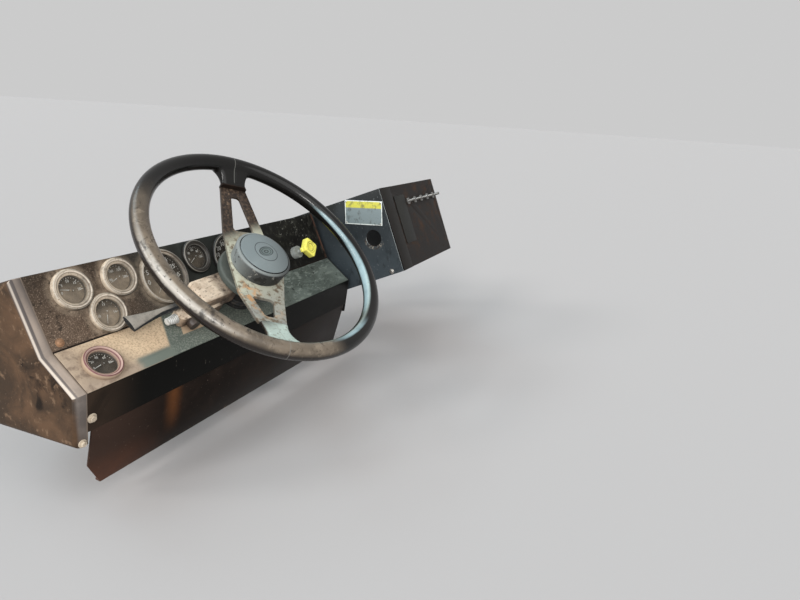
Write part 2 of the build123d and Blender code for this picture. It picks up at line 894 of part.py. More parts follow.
# Cowl rail: an angle across the two brackets, under the rear of the top cover
rail_back = -bracket_plate
with BuildPart() as cowl_rail:
    with BuildSketch(Plane.YZ.offset(-bracket_x)):
        with BuildLine():
            Polyline(
                (rail_back, cowl_rail_top_z),
                (rail_back - cowl_rail_depth, cowl_rail_top_z),
                (rail_back - cowl_rail_depth, cowl_rail_top_z - skin),
                (rail_back - skin, cowl_rail_top_z - skin),
                (rail_back - skin, cowl_rail_top_z - cowl_rail_height),
                (rail_back, cowl_rail_top_z - cowl_rail_height),
                close=True,
            )
        make_face()
    extrude(amount=2 * bracket_x)
save(cowl_rail.part, "cowl_rail")

# Corners of the centre section: rear, top edge of the face, its foot, end of the floor
face_top = Vector(0, face_top_y, face_top_z)
centre_runs = [
    (centre_top_depth, centre_top_lean),
    (face_height, face_lean),
    (centre_floor_length, centre_floor_lean),
]
centre_corners = outline(face_top + up_dir(centre_top_lean) * centre_top_depth, centre_runs)
BACK, BROW, SILL, TAIL = range(4)
centre_back = Vector(0, centre_corners[BACK].Y, bracket_foot_z)
centre_right = centre_x + centre_width
centre_inner = centre_width - 2 * skin
face_plane = lean_plane(centre_corners[SILL], face_lean)

with BuildPart() as centre_side:
    with BuildSketch(Plane.YZ.offset(centre_x)):
        with BuildLine():
            Polyline(*flat(centre_corners + [centre_back]), close=True)
        make_face()
        with Locations((side_hole_y, side_hole_z)):
            Circle(side_hole_r, mode=Mode.SUBTRACT)
    extrude(amount=skin)
save(centre_side.part, "centre_side")

with BuildPart() as centre_end:
    with BuildSketch(Plane.YZ.offset(centre_right)):
        with BuildLine():
            Polyline(*flat(centre_corners + [centre_back]), close=True)
        make_face()
    extrude(amount=-skin)
save(centre_end.part, "centre_end")

for name, first, last in (("centre_top", BACK, BROW), ("centre_floor", SILL, TAIL)):
    with BuildPart() as sheet:
        with BuildSketch(Plane.YZ.offset(centre_x + skin)):
            with BuildLine():
                Polyline(*band_section(centre_corners, centre_runs, first, last, skin), close=True)
            make_face()
        extrude(amount=centre_inner)
    save(sheet.part, name)

# Face of the centre section; its switch row stands between the plate and the right bracket
plate_left = centre_x + skin + trim_width + plate_gap
plate_right = plate_left + plate_width
bracket_left_face = centre_right - skin - bracket_plate
row_middle = (plate_right + bracket_left_face) / 2
row_room = bracket_left_face - plate_right - toggle_body_width - 2 * plate_gap
row_pitch = row_room / (toggle_count - 1)
switch_row = (row_middle, face_height - switch_row_drop)
with BuildPart() as centre_face:
    with BuildSketch(Plane.YZ.offset(centre_x + skin)):
        with BuildLine():
            Polyline(*band_section(centre_corners, centre_runs, BROW, SILL, skin), close=True)
        make_face()
    extrude(amount=centre_inner)
    with BuildSketch(face_plane):
        with Locations(switch_row):
            with GridLocations(row_pitch, 1, toggle_count, 1):
                Circle(switch_hole_r)
    extrude(amount=-2 * skin, mode=Mode.SUBTRACT)
save(centre_face.part, "centre_face")

# Toggle switches in those holes: body behind, bush through the face, nut and lever in front
with BuildPart() as centre_toggles:
    with BuildSketch(face_plane.offset(-skin)):
        with Locations(switch_row):
            with GridLocations(row_pitch, 1, toggle_count, 1):
                Rectangle(toggle_body_width, toggle_body_height)
    extrude(amount=-toggle_body)
    with BuildSketch(face_plane.offset(-skin)):
        with Locations(switch_row):
            with GridLocations(row_pitch, 1, toggle_count, 1):
                Circle(switch_hole_r - hole_gap)
    extrude(amount=skin)
    with BuildSketch(face_plane):
        with Locations(switch_row):
            with GridLocations(row_pitch, 1, toggle_count, 1):
                RegularPolygon(toggle_nut, 6)
    extrude(amount=toggle_nut_thick)
    with BuildSketch(face_plane.offset(toggle_nut_thick)):
        with Locations(switch_row):
            with GridLocations(row_pitch, 1, toggle_count, 1):
                Circle(toggle_radius)
    extrude(amount=toggle_length)
save(centre_toggles.part, "centre_toggles")

# Trim strip and black plate on the face, beside its left edge
with BuildPart() as centre_trim:
    with BuildSketch(face_plane):
        with Locations((centre_x + skin, 0)):
            Rectangle(trim_width, face_height, align=(Align.MIN, Align.MIN))
    extrude(amount=trim_thick)
save(centre_trim.part, "centre_trim")

with BuildPart() as centre_plate:
    with BuildSketch(face_plane):
        with Locations((plate_left, face_height - plate_top_gap)):
            RectangleRounded(plate_width, plate_height, plate_corner, align=(Align.MIN, Align.MAX))
    extrude(amount=trim_thick)
save(centre_plate.part, "centre_plate")

# Brackets of the centre section, each with a bolted flange on the cowl
centre_flange_top = centre_corners[BACK].Z - centre_flange_drop
centre_flange_height = centre_flange_top - bracket_foot_z
centre_flange_middle = (centre_flange_top + bracket_foot_z) / 2
centre_web = [inner_corner(centre_corners, centre_runs, i, skin) for i in (BACK, BROW, SILL, TAIL)]
centre_web.append(Vector(0, 0, bracket_foot_z))
centre_web.append(Vector(0, 0, centre_flange_top))
for name, start, side in (
    ("centre_bracket_left", centre_x + skin, 1),
    ("centre_bracket_right", centre_right - skin, -1),
):
    with BuildPart() as bracket:
        with BuildSketch(Plane.YZ.offset(start)):
            with BuildLine():
                Polyline(*flat(centre_web), close=True)
            make_face()
            with Locations((side_hole_y, side_hole_z), (-centre_hole_back, 0)):
                Circle(side_hole_r + side_hole_room, mode=Mode.SUBTRACT)
        extrude(amount=side * bracket_plate)
        with BuildSketch(Plane.XZ):
            with Locations((start + side * centre_bolt_inset, centre_flange_middle)):
                Rectangle(2 * centre_bolt_inset, centre_flange_height)
            with Locations((start + side * centre_bolt_inset, 0)):
                with GridLocations(1, centre_bolt_span_z, 1, 2):
                    Circle(cowl_bolt_r, mode=Mode.SUBTRACT)
        extrude(amount=bracket_plate)
    save(bracket.part, name)

# Spacers that join the driver's panel to the centre section
with BuildPart() as joint_spacers:
    with BuildSketch(Plane.YZ.offset(right_end_x + end_plate)):
        with Locations((-spacer_inset, spacer_z), (-spacer_inset, spacer_z - spacer_pitch)):
            Circle(spacer_radius)
    extrude(amount=centre_x - right_end_x - end_plate)
save(joint_spacers.part, "joint_spacers")
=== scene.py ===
import json
import math

import bmesh
import bpy
from bpy.props import FloatProperty, FloatVectorProperty, PointerProperty
from mathutils import Matrix, Vector


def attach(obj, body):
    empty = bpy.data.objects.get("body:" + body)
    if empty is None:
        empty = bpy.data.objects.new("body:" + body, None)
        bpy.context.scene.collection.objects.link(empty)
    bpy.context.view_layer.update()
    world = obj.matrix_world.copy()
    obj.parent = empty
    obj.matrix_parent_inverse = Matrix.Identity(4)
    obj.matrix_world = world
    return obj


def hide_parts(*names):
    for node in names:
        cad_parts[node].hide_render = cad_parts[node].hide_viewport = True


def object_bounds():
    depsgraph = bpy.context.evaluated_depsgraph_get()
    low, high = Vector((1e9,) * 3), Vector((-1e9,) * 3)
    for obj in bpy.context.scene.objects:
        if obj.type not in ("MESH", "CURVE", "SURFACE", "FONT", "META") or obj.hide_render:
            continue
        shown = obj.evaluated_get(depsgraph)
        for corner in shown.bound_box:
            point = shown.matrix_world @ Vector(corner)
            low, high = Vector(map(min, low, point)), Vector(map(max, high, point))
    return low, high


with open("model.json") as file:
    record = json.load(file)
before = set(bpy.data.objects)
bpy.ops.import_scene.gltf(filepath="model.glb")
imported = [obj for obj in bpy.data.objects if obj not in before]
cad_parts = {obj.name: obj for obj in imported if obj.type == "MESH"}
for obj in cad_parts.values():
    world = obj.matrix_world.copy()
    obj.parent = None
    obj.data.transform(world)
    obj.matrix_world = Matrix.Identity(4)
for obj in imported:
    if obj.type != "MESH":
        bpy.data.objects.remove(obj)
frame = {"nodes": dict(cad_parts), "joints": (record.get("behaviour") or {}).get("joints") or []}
CAD_LOW, CAD_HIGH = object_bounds()

bl_info = {
    "name": "Truck Instrument Panel Dressing",
    "version": (1, 0, 0),
    "blender": (4, 5, 0),
    "location": "View3D > Sidebar > Panel Dressing",
    "description": "Dresses a truck's instrument panel, steering column and wheel",
    "category": "Object",
}

PANEL_BODY = "instrument_panel"
WHEEL_BODY = "steering_wheel"
MM = 0.001
LEVEL = 0.05 * MM
SMOOTH_ANGLE = math.radians(35)
ACROSS = Vector((1, 0, 0))
UP = Vector((0, 0, 1))


# Places read from the frame

def frame_at(origin, normal, across=ACROSS):
    """Matrix whose z is the normal and whose x runs across, as near as it can."""
    z = Vector(normal).normalized()
    y = z.cross(across).normalized()
    x = y.cross(z)
    rows = [(x[i], y[i], z[i], origin[i]) for i in range(3)]
    return Matrix((*rows, (0, 0, 0, 1)))


def facing(node, toward):
    """Normal of the largest face of a CAD node that looks nearly in a direction."""
    toward = Vector(toward).normalized()
    faces = [f for f in frame["nodes"][node].data.polygons if f.normal.dot(toward) > 0.97]
    return max(faces, key=lambda face: face.area).normal.normalized()


def corners(node):
    """Places of a CAD node's corners."""
    return [v.co.copy() for v in frame["nodes"][node].data.vertices]


def span(node, direction):
    """Least and greatest distance of a CAD node's corners along a direction."""
    reaches = [p.dot(direction) for p in corners(node)]
    return min(reaches), max(reaches)


def middle_of(points, normal):
    """Middle of points that lie in one plane, taken from their extremes."""
    down = ACROSS.cross(normal)
    centre = normal * points[0].dot(normal)
    for way in (normal.cross(down), down):
        reaches = [p.dot(way) for p in points]
        centre = centre + way * (min(reaches) + max(reaches)) / 2
    return centre


def ring_seat(node, normal):
    """Centre, radius and window radius of a gauge's ring, on the sheet that it sits on."""
    lowest = span(node, normal)[0]
    ring = [p for p in corners(node) if p.dot(normal) < lowest + LEVEL]
    centre = middle_of(ring, normal)
    reaches = [(p - centre).length for p in ring]
    return centre, max(reaches), min(reaches)


def crest_of(node, normal):
    """Middle of the outermost face of a CAD node in a direction."""
    highest = span(node, normal)[1]
    return middle_of([p for p in corners(node) if p.dot(normal) > highest - LEVEL], normal)


def meeting(first, first_out, second, second_out):
    """Point at x = 0 where the outer faces of two sheets meet."""
    a = span(first, first_out)[1]
    b = span(second, second_out)[1]
    size = first_out.y * second_out.z - first_out.z * second_out.y
    y = (a * second_out.z - b * first_out.z) / size
    z = (b * first_out.y - a * second_out.y) / size
    return Vector((0, y, z))


STEERING = frame["joints"][0]
WHEEL = frame_at(STEERING["pos_m"], STEERING["axis"])
WHEEL_RIGHT, WHEEL_UP, WHEEL_OUT = (WHEEL.to_3x3() @ way for way in Matrix.Identity(3))
GAUGE_OUT = facing("gauge_panel", (0, -0.9, 0.43))
LEDGE_OUT = facing("dash_lip", (0, -0.59, 0.81))
BAND_OUT = facing("dash_lip", (0, -1, -0.1))
CENTRE_OUT = facing("centre_face", (0, -0.92, 0.38))
GAUGE_DOWN = ACROSS.cross(GAUGE_OUT)
LEDGE_DOWN = ACROSS.cross(LEDGE_OUT)
BAND_DOWN = ACROSS.cross(BAND_OUT)
CREASE_POINT = meeting("gauge_panel", GAUGE_OUT, "dash_lip", LEDGE_OUT)
LIP_POINT = meeting("dash_lip", LEDGE_OUT, "dash_lip", BAND_OUT)
CREASE = CREASE_POINT.dot(LEDGE_DOWN)

# Upper and lower web of the rim: its spoke's angle, distance of its neck from the wheel's axis
NECKS = ((math.radians(65.5), 0.172), (math.radians(-126.5), 0.148))
NECK_DROP = 0.022
# Half width and half height of the oval badge seat on the horn pad
SEAT_WIDE, SEAT_HIGH = 16.0 * MM, 10.0 * MM


class WheelSizes(bpy.types.PropertyGroup):
    """Sizes of the steering wheel's dressing."""

    voxel: FloatProperty(
        name="Rim voxel", default=2.0 * MM, unit="LENGTH",
        description="Voxel at which the rim and its webs are melted into one moulding",
    )
    rim_colour: FloatVectorProperty(
        name="Rim", default=(0.0065, 0.006, 0.0055), subtype="COLOR",
        description="Colour of the rim where it is not worn",
    )
    worn_colour: FloatVectorProperty(
        name="Worn rim", default=(0.020, 0.015, 0.012), subtype="COLOR",
        description="Colour of the rim where hands have worn it",
    )


class SheetSizes(bpy.types.PropertyGroup):
    """Sizes of the sheets' dressing."""

    edge: FloatProperty(
        name="Edge", default=0.7 * MM, unit="LENGTH",
        description="Width of the easing along the sheets' edges",
    )
    outlet_back: FloatProperty(
        name="Outlet setback", default=62.0 * MM, unit="LENGTH",
        description="Distance from the cover's top edge back to the row of outlets",
    )


class GaugeSizes(bpy.types.PropertyGroup):
    """Sizes of the gauges' faces."""

    tick_length: FloatProperty(
        name="Tick", default=2.8 * MM, unit="LENGTH",
        description="Length of a dial's long tick",
    )
    tick_width: FloatProperty(
        name="Tick width", default=0.7 * MM, unit="LENGTH",
        description="Width of a dial's long tick",
    )
    number_share: FloatProperty(
        name="Number height", default=0.2, subtype="FACTOR",
        description="Height of the numbers, as a share of the dial's radius",
    )
    sweep: FloatProperty(
        name="Sweep", default=math.radians(190), subtype="ANGLE",
        description="Angle that the dial's scale covers",
    )


class StageSizes(bpy.types.PropertyGroup):
    """Floor, backdrop and light."""

    floor_colour: FloatVectorProperty(
        name="Floor", default=(0.44, 0.424, 0.419), subtype="COLOR",
        description="Colour of the studio floor",
    )
    backdrop_colour: FloatVectorProperty(
        name="Backdrop", default=(0.598, 0.598, 0.598), subtype="COLOR",
        description="Colour of the backdrop behind the floor's edge",
    )
    floor_radius: FloatProperty(
        name="Floor radius", default=40.0, unit="LENGTH",
        description="Radius of the studio floor",
    )
    world_strength: FloatProperty(
        name="World", default=0.44,
        description="Strength of the even light from all round",
    )
    lamp_strength: FloatProperty(
        name="Lamps", default=1.0,
        description="Strength of the soft lamps",
    )


# Materials

class Finish:
    """A material laid out node by node, on Object coordinates."""

    def __init__(self, name, colour, roughness, metallic=0.0, specular=0.5):
        self.material = bpy.data.materials.new(name)
        self.material.use_nodes = True
        self.tree = self.material.node_tree
        self.shader = self.tree.nodes["Principled BSDF"]
        self.shader.inputs["Metallic"].default_value = metallic
        self.shader.inputs["Specular IOR Level"].default_value = specular
        coordinates = self.node("ShaderNodeTexCoord")
        self.place = coordinates.outputs["Object"]
        self.normal = coordinates.outputs["Normal"]
        self.colour = (*colour, 1)
        self.rough = roughness
        self.height = None

    def node(self, kind, **settings):
        """A new node with its settings."""
        made = self.tree.nodes.new(kind)
        for name, value in settings.items():
            setattr(made, name, value)
        return made

    def link(self, source, target):
        """Joins a socket, or sets a plain value."""
        if isinstance(source, bpy.types.NodeSocket):
            self.tree.links.new(source, target)
        else:
            target.default_value = source

    def math(self, operation, a, b=0.5):
        made = self.node("ShaderNodeMath", operation=operation)
        self.link(a, made.inputs[0])
        self.link(b, made.inputs[1])
        return made.outputs[0]

    def vector(self, operation, a, b, output="Vector"):
        made = self.node("ShaderNodeVectorMath", operation=operation)
        self.link(a, made.inputs[0])
        if b is not None:
            self.link(b, made.inputs[1])
        return made.outputs[output]

    def between(self, value, low, high):
        """Smooth step of a value from low to high."""
        ramp = self.node("ShaderNodeMapRange", interpolation_type="SMOOTHSTEP")
        self.link(value, ramp.inputs["Value"])
        ramp.inputs["From Min"].default_value = low
        ramp.inputs["From Max"].default_value = high
        return ramp.outputs["Result"]

    def spots(self, scale, low, high, detail=4, rough=0.6, stretch=(1, 1, 1), warp=0):
        """Noise cut between two levels: 0 below low, 1 above high."""
        mapping = self.node("ShaderNodeMapping")
        self.link(self.place, mapping.inputs["Vector"])
        mapping.inputs["Scale"].default_value = stretch
        noise = self.node("ShaderNodeTexNoise")
        self.link(mapping.outputs[0], noise.inputs["Vector"])
        noise.inputs["Scale"].default_value = scale
        noise.inputs["Detail"].default_value = detail
        noise.inputs["Roughness"].default_value = rough
        noise.inputs["Distortion"].default_value = warp
        return self.between(noise.outputs["Fac"], low, high)

    def reach(self, direction, start=None):
        """Distance along a direction of the row frame, in metres, from a start or from 0."""
        reach = self.vector("DOT_PRODUCT", self.place, direction, "Value")
        return reach if start is None else self.math("SUBTRACT", reach, start)

    def on_wheel(self):
        """Distances to the right and up from the wheel's axis."""
        centre = WHEEL.translation
        return [self.reach(way, centre.dot(way)) for way in (WHEEL_RIGHT, WHEEL_UP)]

    def along(self, direction, start, end):
        """0 to 1 between two distances along a direction."""
        return self.between(self.reach(direction), start, end)

    def off_axis(self, centre, axis):
        """Distance from a line through a point."""
        away = self.vector("SUBTRACT", self.place, centre)
        return self.vector("LENGTH", self.vector("CROSS_PRODUCT", away, axis), None, "Value")

    def band(self, value, low, high, soft):
        """1 where a value lies between two limits."""
        start = self.between(value, low - soft, low + soft)
        return self.without(start, self.between(value, high - soft, high + soft))

    def facing(self, direction, low, high):
        """1 where the surface looks in a direction, as where dust settles."""
        return self.between(self.vector("DOT_PRODUCT", self.normal, direction, "Value"), low, high)

    def times(self, mask, *others):
        """Masks and shares multiplied together."""
        for other in others:
            mask = self.math("MULTIPLY", mask, other)
        return mask

    def without(self, a, b):
        """a where b is not."""
        return self.times(a, self.math("SUBTRACT", 1.0, b))

    def partly(self, mask, least):
        """A mask that never falls below a share."""
        return self.math("ADD", least, self.times(mask, 1.0 - least))

    def lay(self, colour, rough, *masks):
        """Another colour and another roughness, where all the masks are 1."""
        mask = self.times(*masks)
        self.colour = self.mix("RGBA", (6, 7, 2), mask, self.colour, (*colour, 1))
        self.rough = self.mix("FLOAT", (2, 3, 0), mask, self.rough, rough)

    def mix(self, kind, sockets, mask, under, over):
        """One value over another where the mask is 1."""
        made = self.node("ShaderNodeMix", data_type=kind)
        self.link(mask, made.inputs["Factor"])
        self.link(under, made.inputs[sockets[0]])
        self.link(over, made.inputs[sockets[1]])
        return made.outputs[sockets[2]]

    def relief(self, mask, amount=1.0):
        """Adds to the height that the bump is read from."""
        part = self.times(mask, amount)
        self.height = part if self.height is None else self.math("ADD", self.height, part)

    def done(self, bump=0.5, depth=0.5):
        """Joins everything to the shader, the bump with a depth in mm."""
        self.link(self.colour, self.shader.inputs["Base Color"])
        self.link(self.rough, self.shader.inputs["Roughness"])
        if self.height is not None:
            made = self.node("ShaderNodeBump")
            made.inputs["Strength"].default_value = bump
            made.inputs["Distance"].default_value = depth * MM
            self.link(self.height, made.inputs["Height"])
            self.link(made.outputs[0], self.shader.inputs["Normal"])
        return self.material


def rim_vinyl(colour, worn):
    """Hard black rim, dulled brown on top where hands have rubbed its left side and its foot, with
    a painted highlight along that side, painted highlights along the webs, and painted sky
    reflections on its inner right side and lower web.
    """
    made = Finish("rim_vinyl", colour, 0.2, 0.0, 0.32)
    centre = WHEEL.translation
    u, v = made.on_wheel()
    left = made.between(u, -0.07, -0.17)
    foot = made.times(made.between(v, -0.1, -0.18), made.between(u, -0.02, -0.07))
    rubbed = made.math("MAXIMUM", made.times(left, made.between(v, 0.19, 0.1)), foot)
    on_top = made.facing(WHEEL_OUT, 0.15, 0.75)
    cloud = made.spots(17, 0.3, 0.7, 6, warp=0.5)
    made.lay(worn, 0.26, rubbed, 0.7)
    made.lay((0.2, 0.16, 0.118), 0.3, rubbed, on_top, made.partly(cloud, 0.45))
    # Painted highlight: a pale streak where the sky's reflection falls along the rubbed left side
    # and foot, over the hand wear.
    painted_highlight = made.times(made.facing((-0.8, -0.35, 0.49), 0.86, 0.985),
                          made.partly(made.between(v, 0.11, 0.01), 0.3))
    made.lay((0.42, 0.39, 0.345), 0.24, painted_highlight, rubbed, 0.9)
    made.lay((0.27, 0.22, 0.165), 0.35, rubbed, on_top, made.spots(75, 0.5, 0.7, 7), 0.5)
    made.lay((0.012, 0.01, 0.009), 0.2, made.spots(48, 0.54, 0.68, 7, warp=0.3), rubbed, 0.8)
    made.lay((0.022, 0.017, 0.014), 0.5, made.spots(230, 0.62, 0.7, 5), rubbed)
    # Painted reflection: pale blue-grey where the sky would show on the rim's inner right side and
    # on its top low down, mottled by the cloud.
    inner = made.times(made.between(u, 0.05, 0.11), made.between(v, 0.15, 0.05))
    above = made.times(made.facing((-0.92, -0.15, 0.36), 0.91, 0.99), made.between(v, -0.1, -0.03))
    beside = made.times(made.facing((-0.76, 0.22, 0.61), 0.79, 0.95), made.between(v, 0, -0.06))
    pale = made.times(inner, made.math("MAXIMUM", above, beside))
    below = made.times(made.band(u, -0.03, 0.045, 0.03), made.between(v, -0.12, -0.17))
    below = made.times(below, made.facing((-0.26, -0.12, 0.96), 0.9, 0.985))
    pale = made.times(made.math("MAXIMUM", pale, below), made.partly(cloud, 0.6))
    # Painted reflection: pale blue-grey sky on the top face of the lower web, with dirt specks laid
    # over it.
    low = made.times(made.between(v, -0.1, -0.14),
                     made.between(made.off_axis(centre, WHEEL_OUT), 0.207, 0.198))
    low = made.times(low, made.facing(WHEEL_OUT, 0.4, 0.8))
    made.lay((0.34, 0.47, 0.5), 0.28, pale, 0.85)
    made.lay((0.47, 0.56, 0.5), 0.4, low)
    made.lay((0.15, 0.135, 0.1), 0.5, made.spots(150, 0.54, 0.66, 6), low, 0.75)
    for angle, reach in NECKS:
        out = WHEEL_RIGHT * math.cos(angle) + WHEEL_UP * math.sin(angle)
        beside = out.cross(WHEEL_OUT)
        start = centre.dot(out) + reach
        on_web = made.along(out, start + 4.0 * MM, start + 8.0 * MM)
        offset = made.math("ABSOLUTE", made.reach(beside, centre.dot(beside)))
        made.relief(made.times(made.band(offset, 0.001, 0.0035, 0.0005), on_web), -2.5)
        # Painted highlight: a pale line along the middle of each web, between its two grooves.
        bead = made.times(made.between(offset, 0.0011, 0.0003), on_web)
        made.lay((0.24, 0.235, 0.215), 0.25, bead, 0.4)
    made.relief(made.spots(60, 0.2, 0.8), 0.3)
    made.relief(made.spots(900, 0.3, 0.7, 2), 0.2)
    return made.done(0.09, 0.4)


def spoke_steel():
    """Pressed steel: near black with rust above, tan with dust on the plate and below it."""
    made = Finish("spoke_steel", (0.02, 0.014, 0.011), 0.42, 0.0, 0.3)
    made.lay((0.075, 0.05, 0.034), 0.6, made.spots(210, 0.45, 0.62, 7))
    made.lay((0.22, 0.15, 0.1), 0.65, made.spots(130, 0.58, 0.68, 6), 0.7)
    made.lay((0.012, 0.009, 0.008), 0.45, made.spots(55, 0.55, 0.7, 5))
    u, v = made.on_wheel()
    lower = made.between(v, 0.085, 0.05)
    grey = made.spots(38, 0.3, 0.65, 6, warp=0.4)
    made.lay((0.5, 0.5, 0.39), 0.6, lower, made.partly(grey, 0.8))
    foot = made.between(v, -0.02, -0.09)
    made.lay((0.235, 0.235, 0.215), 0.65, foot, made.partly(grey, 0.6))
    made.lay((0.15, 0.115, 0.078), 0.65, lower, made.spots(95, 0.48, 0.64, 7))
    near = made.times(made.band(u, -0.085, -0.045, 0.01), made.band(v, -0.105, -0.02, 0.015))
    made.lay((0.52, 0.3, 0.15), 0.75, near, made.spots(70, 0.45, 0.62, 7))
    edge = made.facing(WHEEL_OUT, 0.72, 0.5)
    made.lay((0.05, 0.036, 0.026), 0.55, edge, 0.6)
    made.lay((0.04, 0.028, 0.02), 0.6, made.spots(330, 0.62, 0.72, 5))
    # Painted highlight: pale along the rounded edges between the faces and sides of the legs.
    rim = made.band(made.facing(WHEEL_OUT, 0, 1), 0.55, 0.97, 0.02)
    made.lay((0.4, 0.36, 0.29), 0.4, rim, 0.6)
    made.relief(made.spots(170, 0.2, 0.8, 6))
    return made.done(0.3, 0.5)


def horn_vinyl(name, colour, scuffed, shade):
    """Grained vinyl of the horn pad, with painted shade to the right and below, and a bare oval
    badge seat.
    """
    made = Finish(name, colour, 0.42, 0.0, 0.25)
    made.lay(scuffed, 0.55, made.spots(22, 0.35, 0.75, 6))
    centre = WHEEL.translation
    u, v = made.on_wheel()
    # Painted shade: darker to the right and below, as if lit from the upper left.
    far = made.between(made.math("SUBTRACT", made.times(u, 0.75), made.times(v, 0.65)), -0.02, 0.05)
    made.lay(shade, 0.45, far, 0.85)
    # Painted shade on the side: darker low down, to the right, and in dark creases.
    side = made.facing(WHEEL_OUT, 0.7, 0.2)
    made.lay((0.018, 0.018, 0.019), 0.45, side, made.between(v, 0.03, -0.035), 0.85)
    made.lay((0.014, 0.0135, 0.013), 0.45, side, far, 0.75)
    creases = made.spots(52, 0.56, 0.62, 3, warp=0.6)
    made.lay((0.012, 0.012, 0.012), 0.5, creases, side, 0.8)
    marks = made.spots(75, 0.64, 0.68, 4, stretch=(1.6, 1, 0.5), warp=0.8)
    made.lay((0.26, 0.255, 0.23), 0.6, marks, side, 0.8)
    made.lay((0.22, 0.22, 0.21), 0.6, made.spots(240, 0.7, 0.76, 4))
    flat = made.facing(WHEEL_OUT, 0.7, 0.8)
    away = made.off_axis(centre, WHEEL_OUT)
    groove = made.times(made.band(away, 0.0205, 0.0217, 0.0003), flat)
    made.lay((0.022, 0.024, 0.026), 0.5, groove, 0.85)
    made.relief(groove, -4)
    wide = made.math("POWER", made.times(u, 1 / SEAT_WIDE), 2)
    high = made.math("POWER", made.times(v, 1 / SEAT_HIGH), 2)
    oval = made.math("SQRT", made.math("ADD", wide, high))
    seat = made.times(made.between(oval, 1, 0.94), flat)
    made.lay((0.125, 0.155, 0.152), 0.4, seat)
    for start, end in ((0.86, 0.99), (0.60, 0.70), (0.18, 0.34)):
        made.lay((0.022, 0.026, 0.027), 0.4, made.band(oval, start, end, 0.03), flat, 0.85)
    made.relief(made.spots(620, 0.3, 0.7, 3))
    return made.done(0.3, 0.4)


def dusty_paint(name, colour, dust, amount, rough=0.42, metallic=0.0):
    """Black or grey paint with settled dust and fine scratches."""
    made = Finish(name, colour, rough, metallic, 0.18)
    film = made.spots(9, 0.6 - amount, 1.25 - amount, 9, rough=0.75)
    above = made.facing(UP, -0.2, 0.8)
    made.lay(dust, 0.7, film, made.partly(above, 0.3))
    made.lay(dust, 0.8, made.spots(260, 0.62, 0.72, 6), 0.6)
    made.relief(made.spots(420, 0.25, 0.75))
    return made.done(0.15, 0.3)


def gauge_panel_paint(rings):
    """Black crackle paint under brown dust, thickest low down towards the door."""
    made = Finish("gauge_panel_paint", (0.0075, 0.007, 0.006), 0.38, 0.0, 0.15)
    top, foot = span("gauge_panel", GAUGE_DOWN)
    low = made.along(GAUGE_DOWN, top, foot)
    door = made.along(-ACROSS, 0.04, 0.27)
    film = made.spots(20, 0.2, 0.7, 7, warp=0.5)
    made.lay((0.145, 0.1, 0.07), 0.6, door, made.partly(low, 0.35), made.partly(film, 0.5))
    halo = None
    for centre, radius in rings:
        near = made.between(made.off_axis(centre, GAUGE_OUT), radius + 0.012, radius)
        halo = near if halo is None else made.math("MAXIMUM", halo, near)
    halo = made.times(halo, made.along(-ACROSS, 0.085, 0.15),
                      made.partly(made.spots(110, 0.35, 0.65, 7), 0.4))
    made.lay((0.36, 0.285, 0.21), 0.7, halo, 0.75)
    speck = made.spots(620, 0.52, 0.66, 6)
    made.lay((0.36, 0.27, 0.2), 0.75, speck, door, made.partly(low, 0.4), 0.85)
    made.lay((0.022, 0.017, 0.013), 0.5, made.spots(140, 0.54, 0.66, 7), door, 0.75)
    middle = made.band(made.reach(ACROSS), -0.17, 0.06, 0.05)
    made.lay((0.055, 0.062, 0.056), 0.5, middle, 0.6, made.partly(film, 0.4))
    right = made.along(ACROSS, 0.11, 0.2)
    streaks = made.spots(60, 0.5, 0.66, 8, stretch=(1.2, 0.7, 0.7), warp=1.2)
    made.lay((0.034, 0.034, 0.028), 0.55, streaks, right, 0.8)
    flakes = made.spots(190, 0.63, 0.68, 6, warp=0.8)
    flaked = made.band(made.reach(ACROSS), 0.2, 0.325, 0.02)
    made.lay((0.34, 0.34, 0.3), 0.7, flakes, flaked, made.without(1, low))
    worn = made.times(made.along(ACROSS, 0.337, 0.343), made.spots(60, 0.35, 0.6))
    made.lay((0.085, 0.042, 0.028), 0.8, worn)
    made.lay((0.012, 0.008, 0.006), 0.8, made.along(GAUGE_DOWN, foot - 0.004, foot - 0.002))
    made.relief(made.spots(560, 0.25, 0.75, 3))
    return made.done(0.3, 0.35)


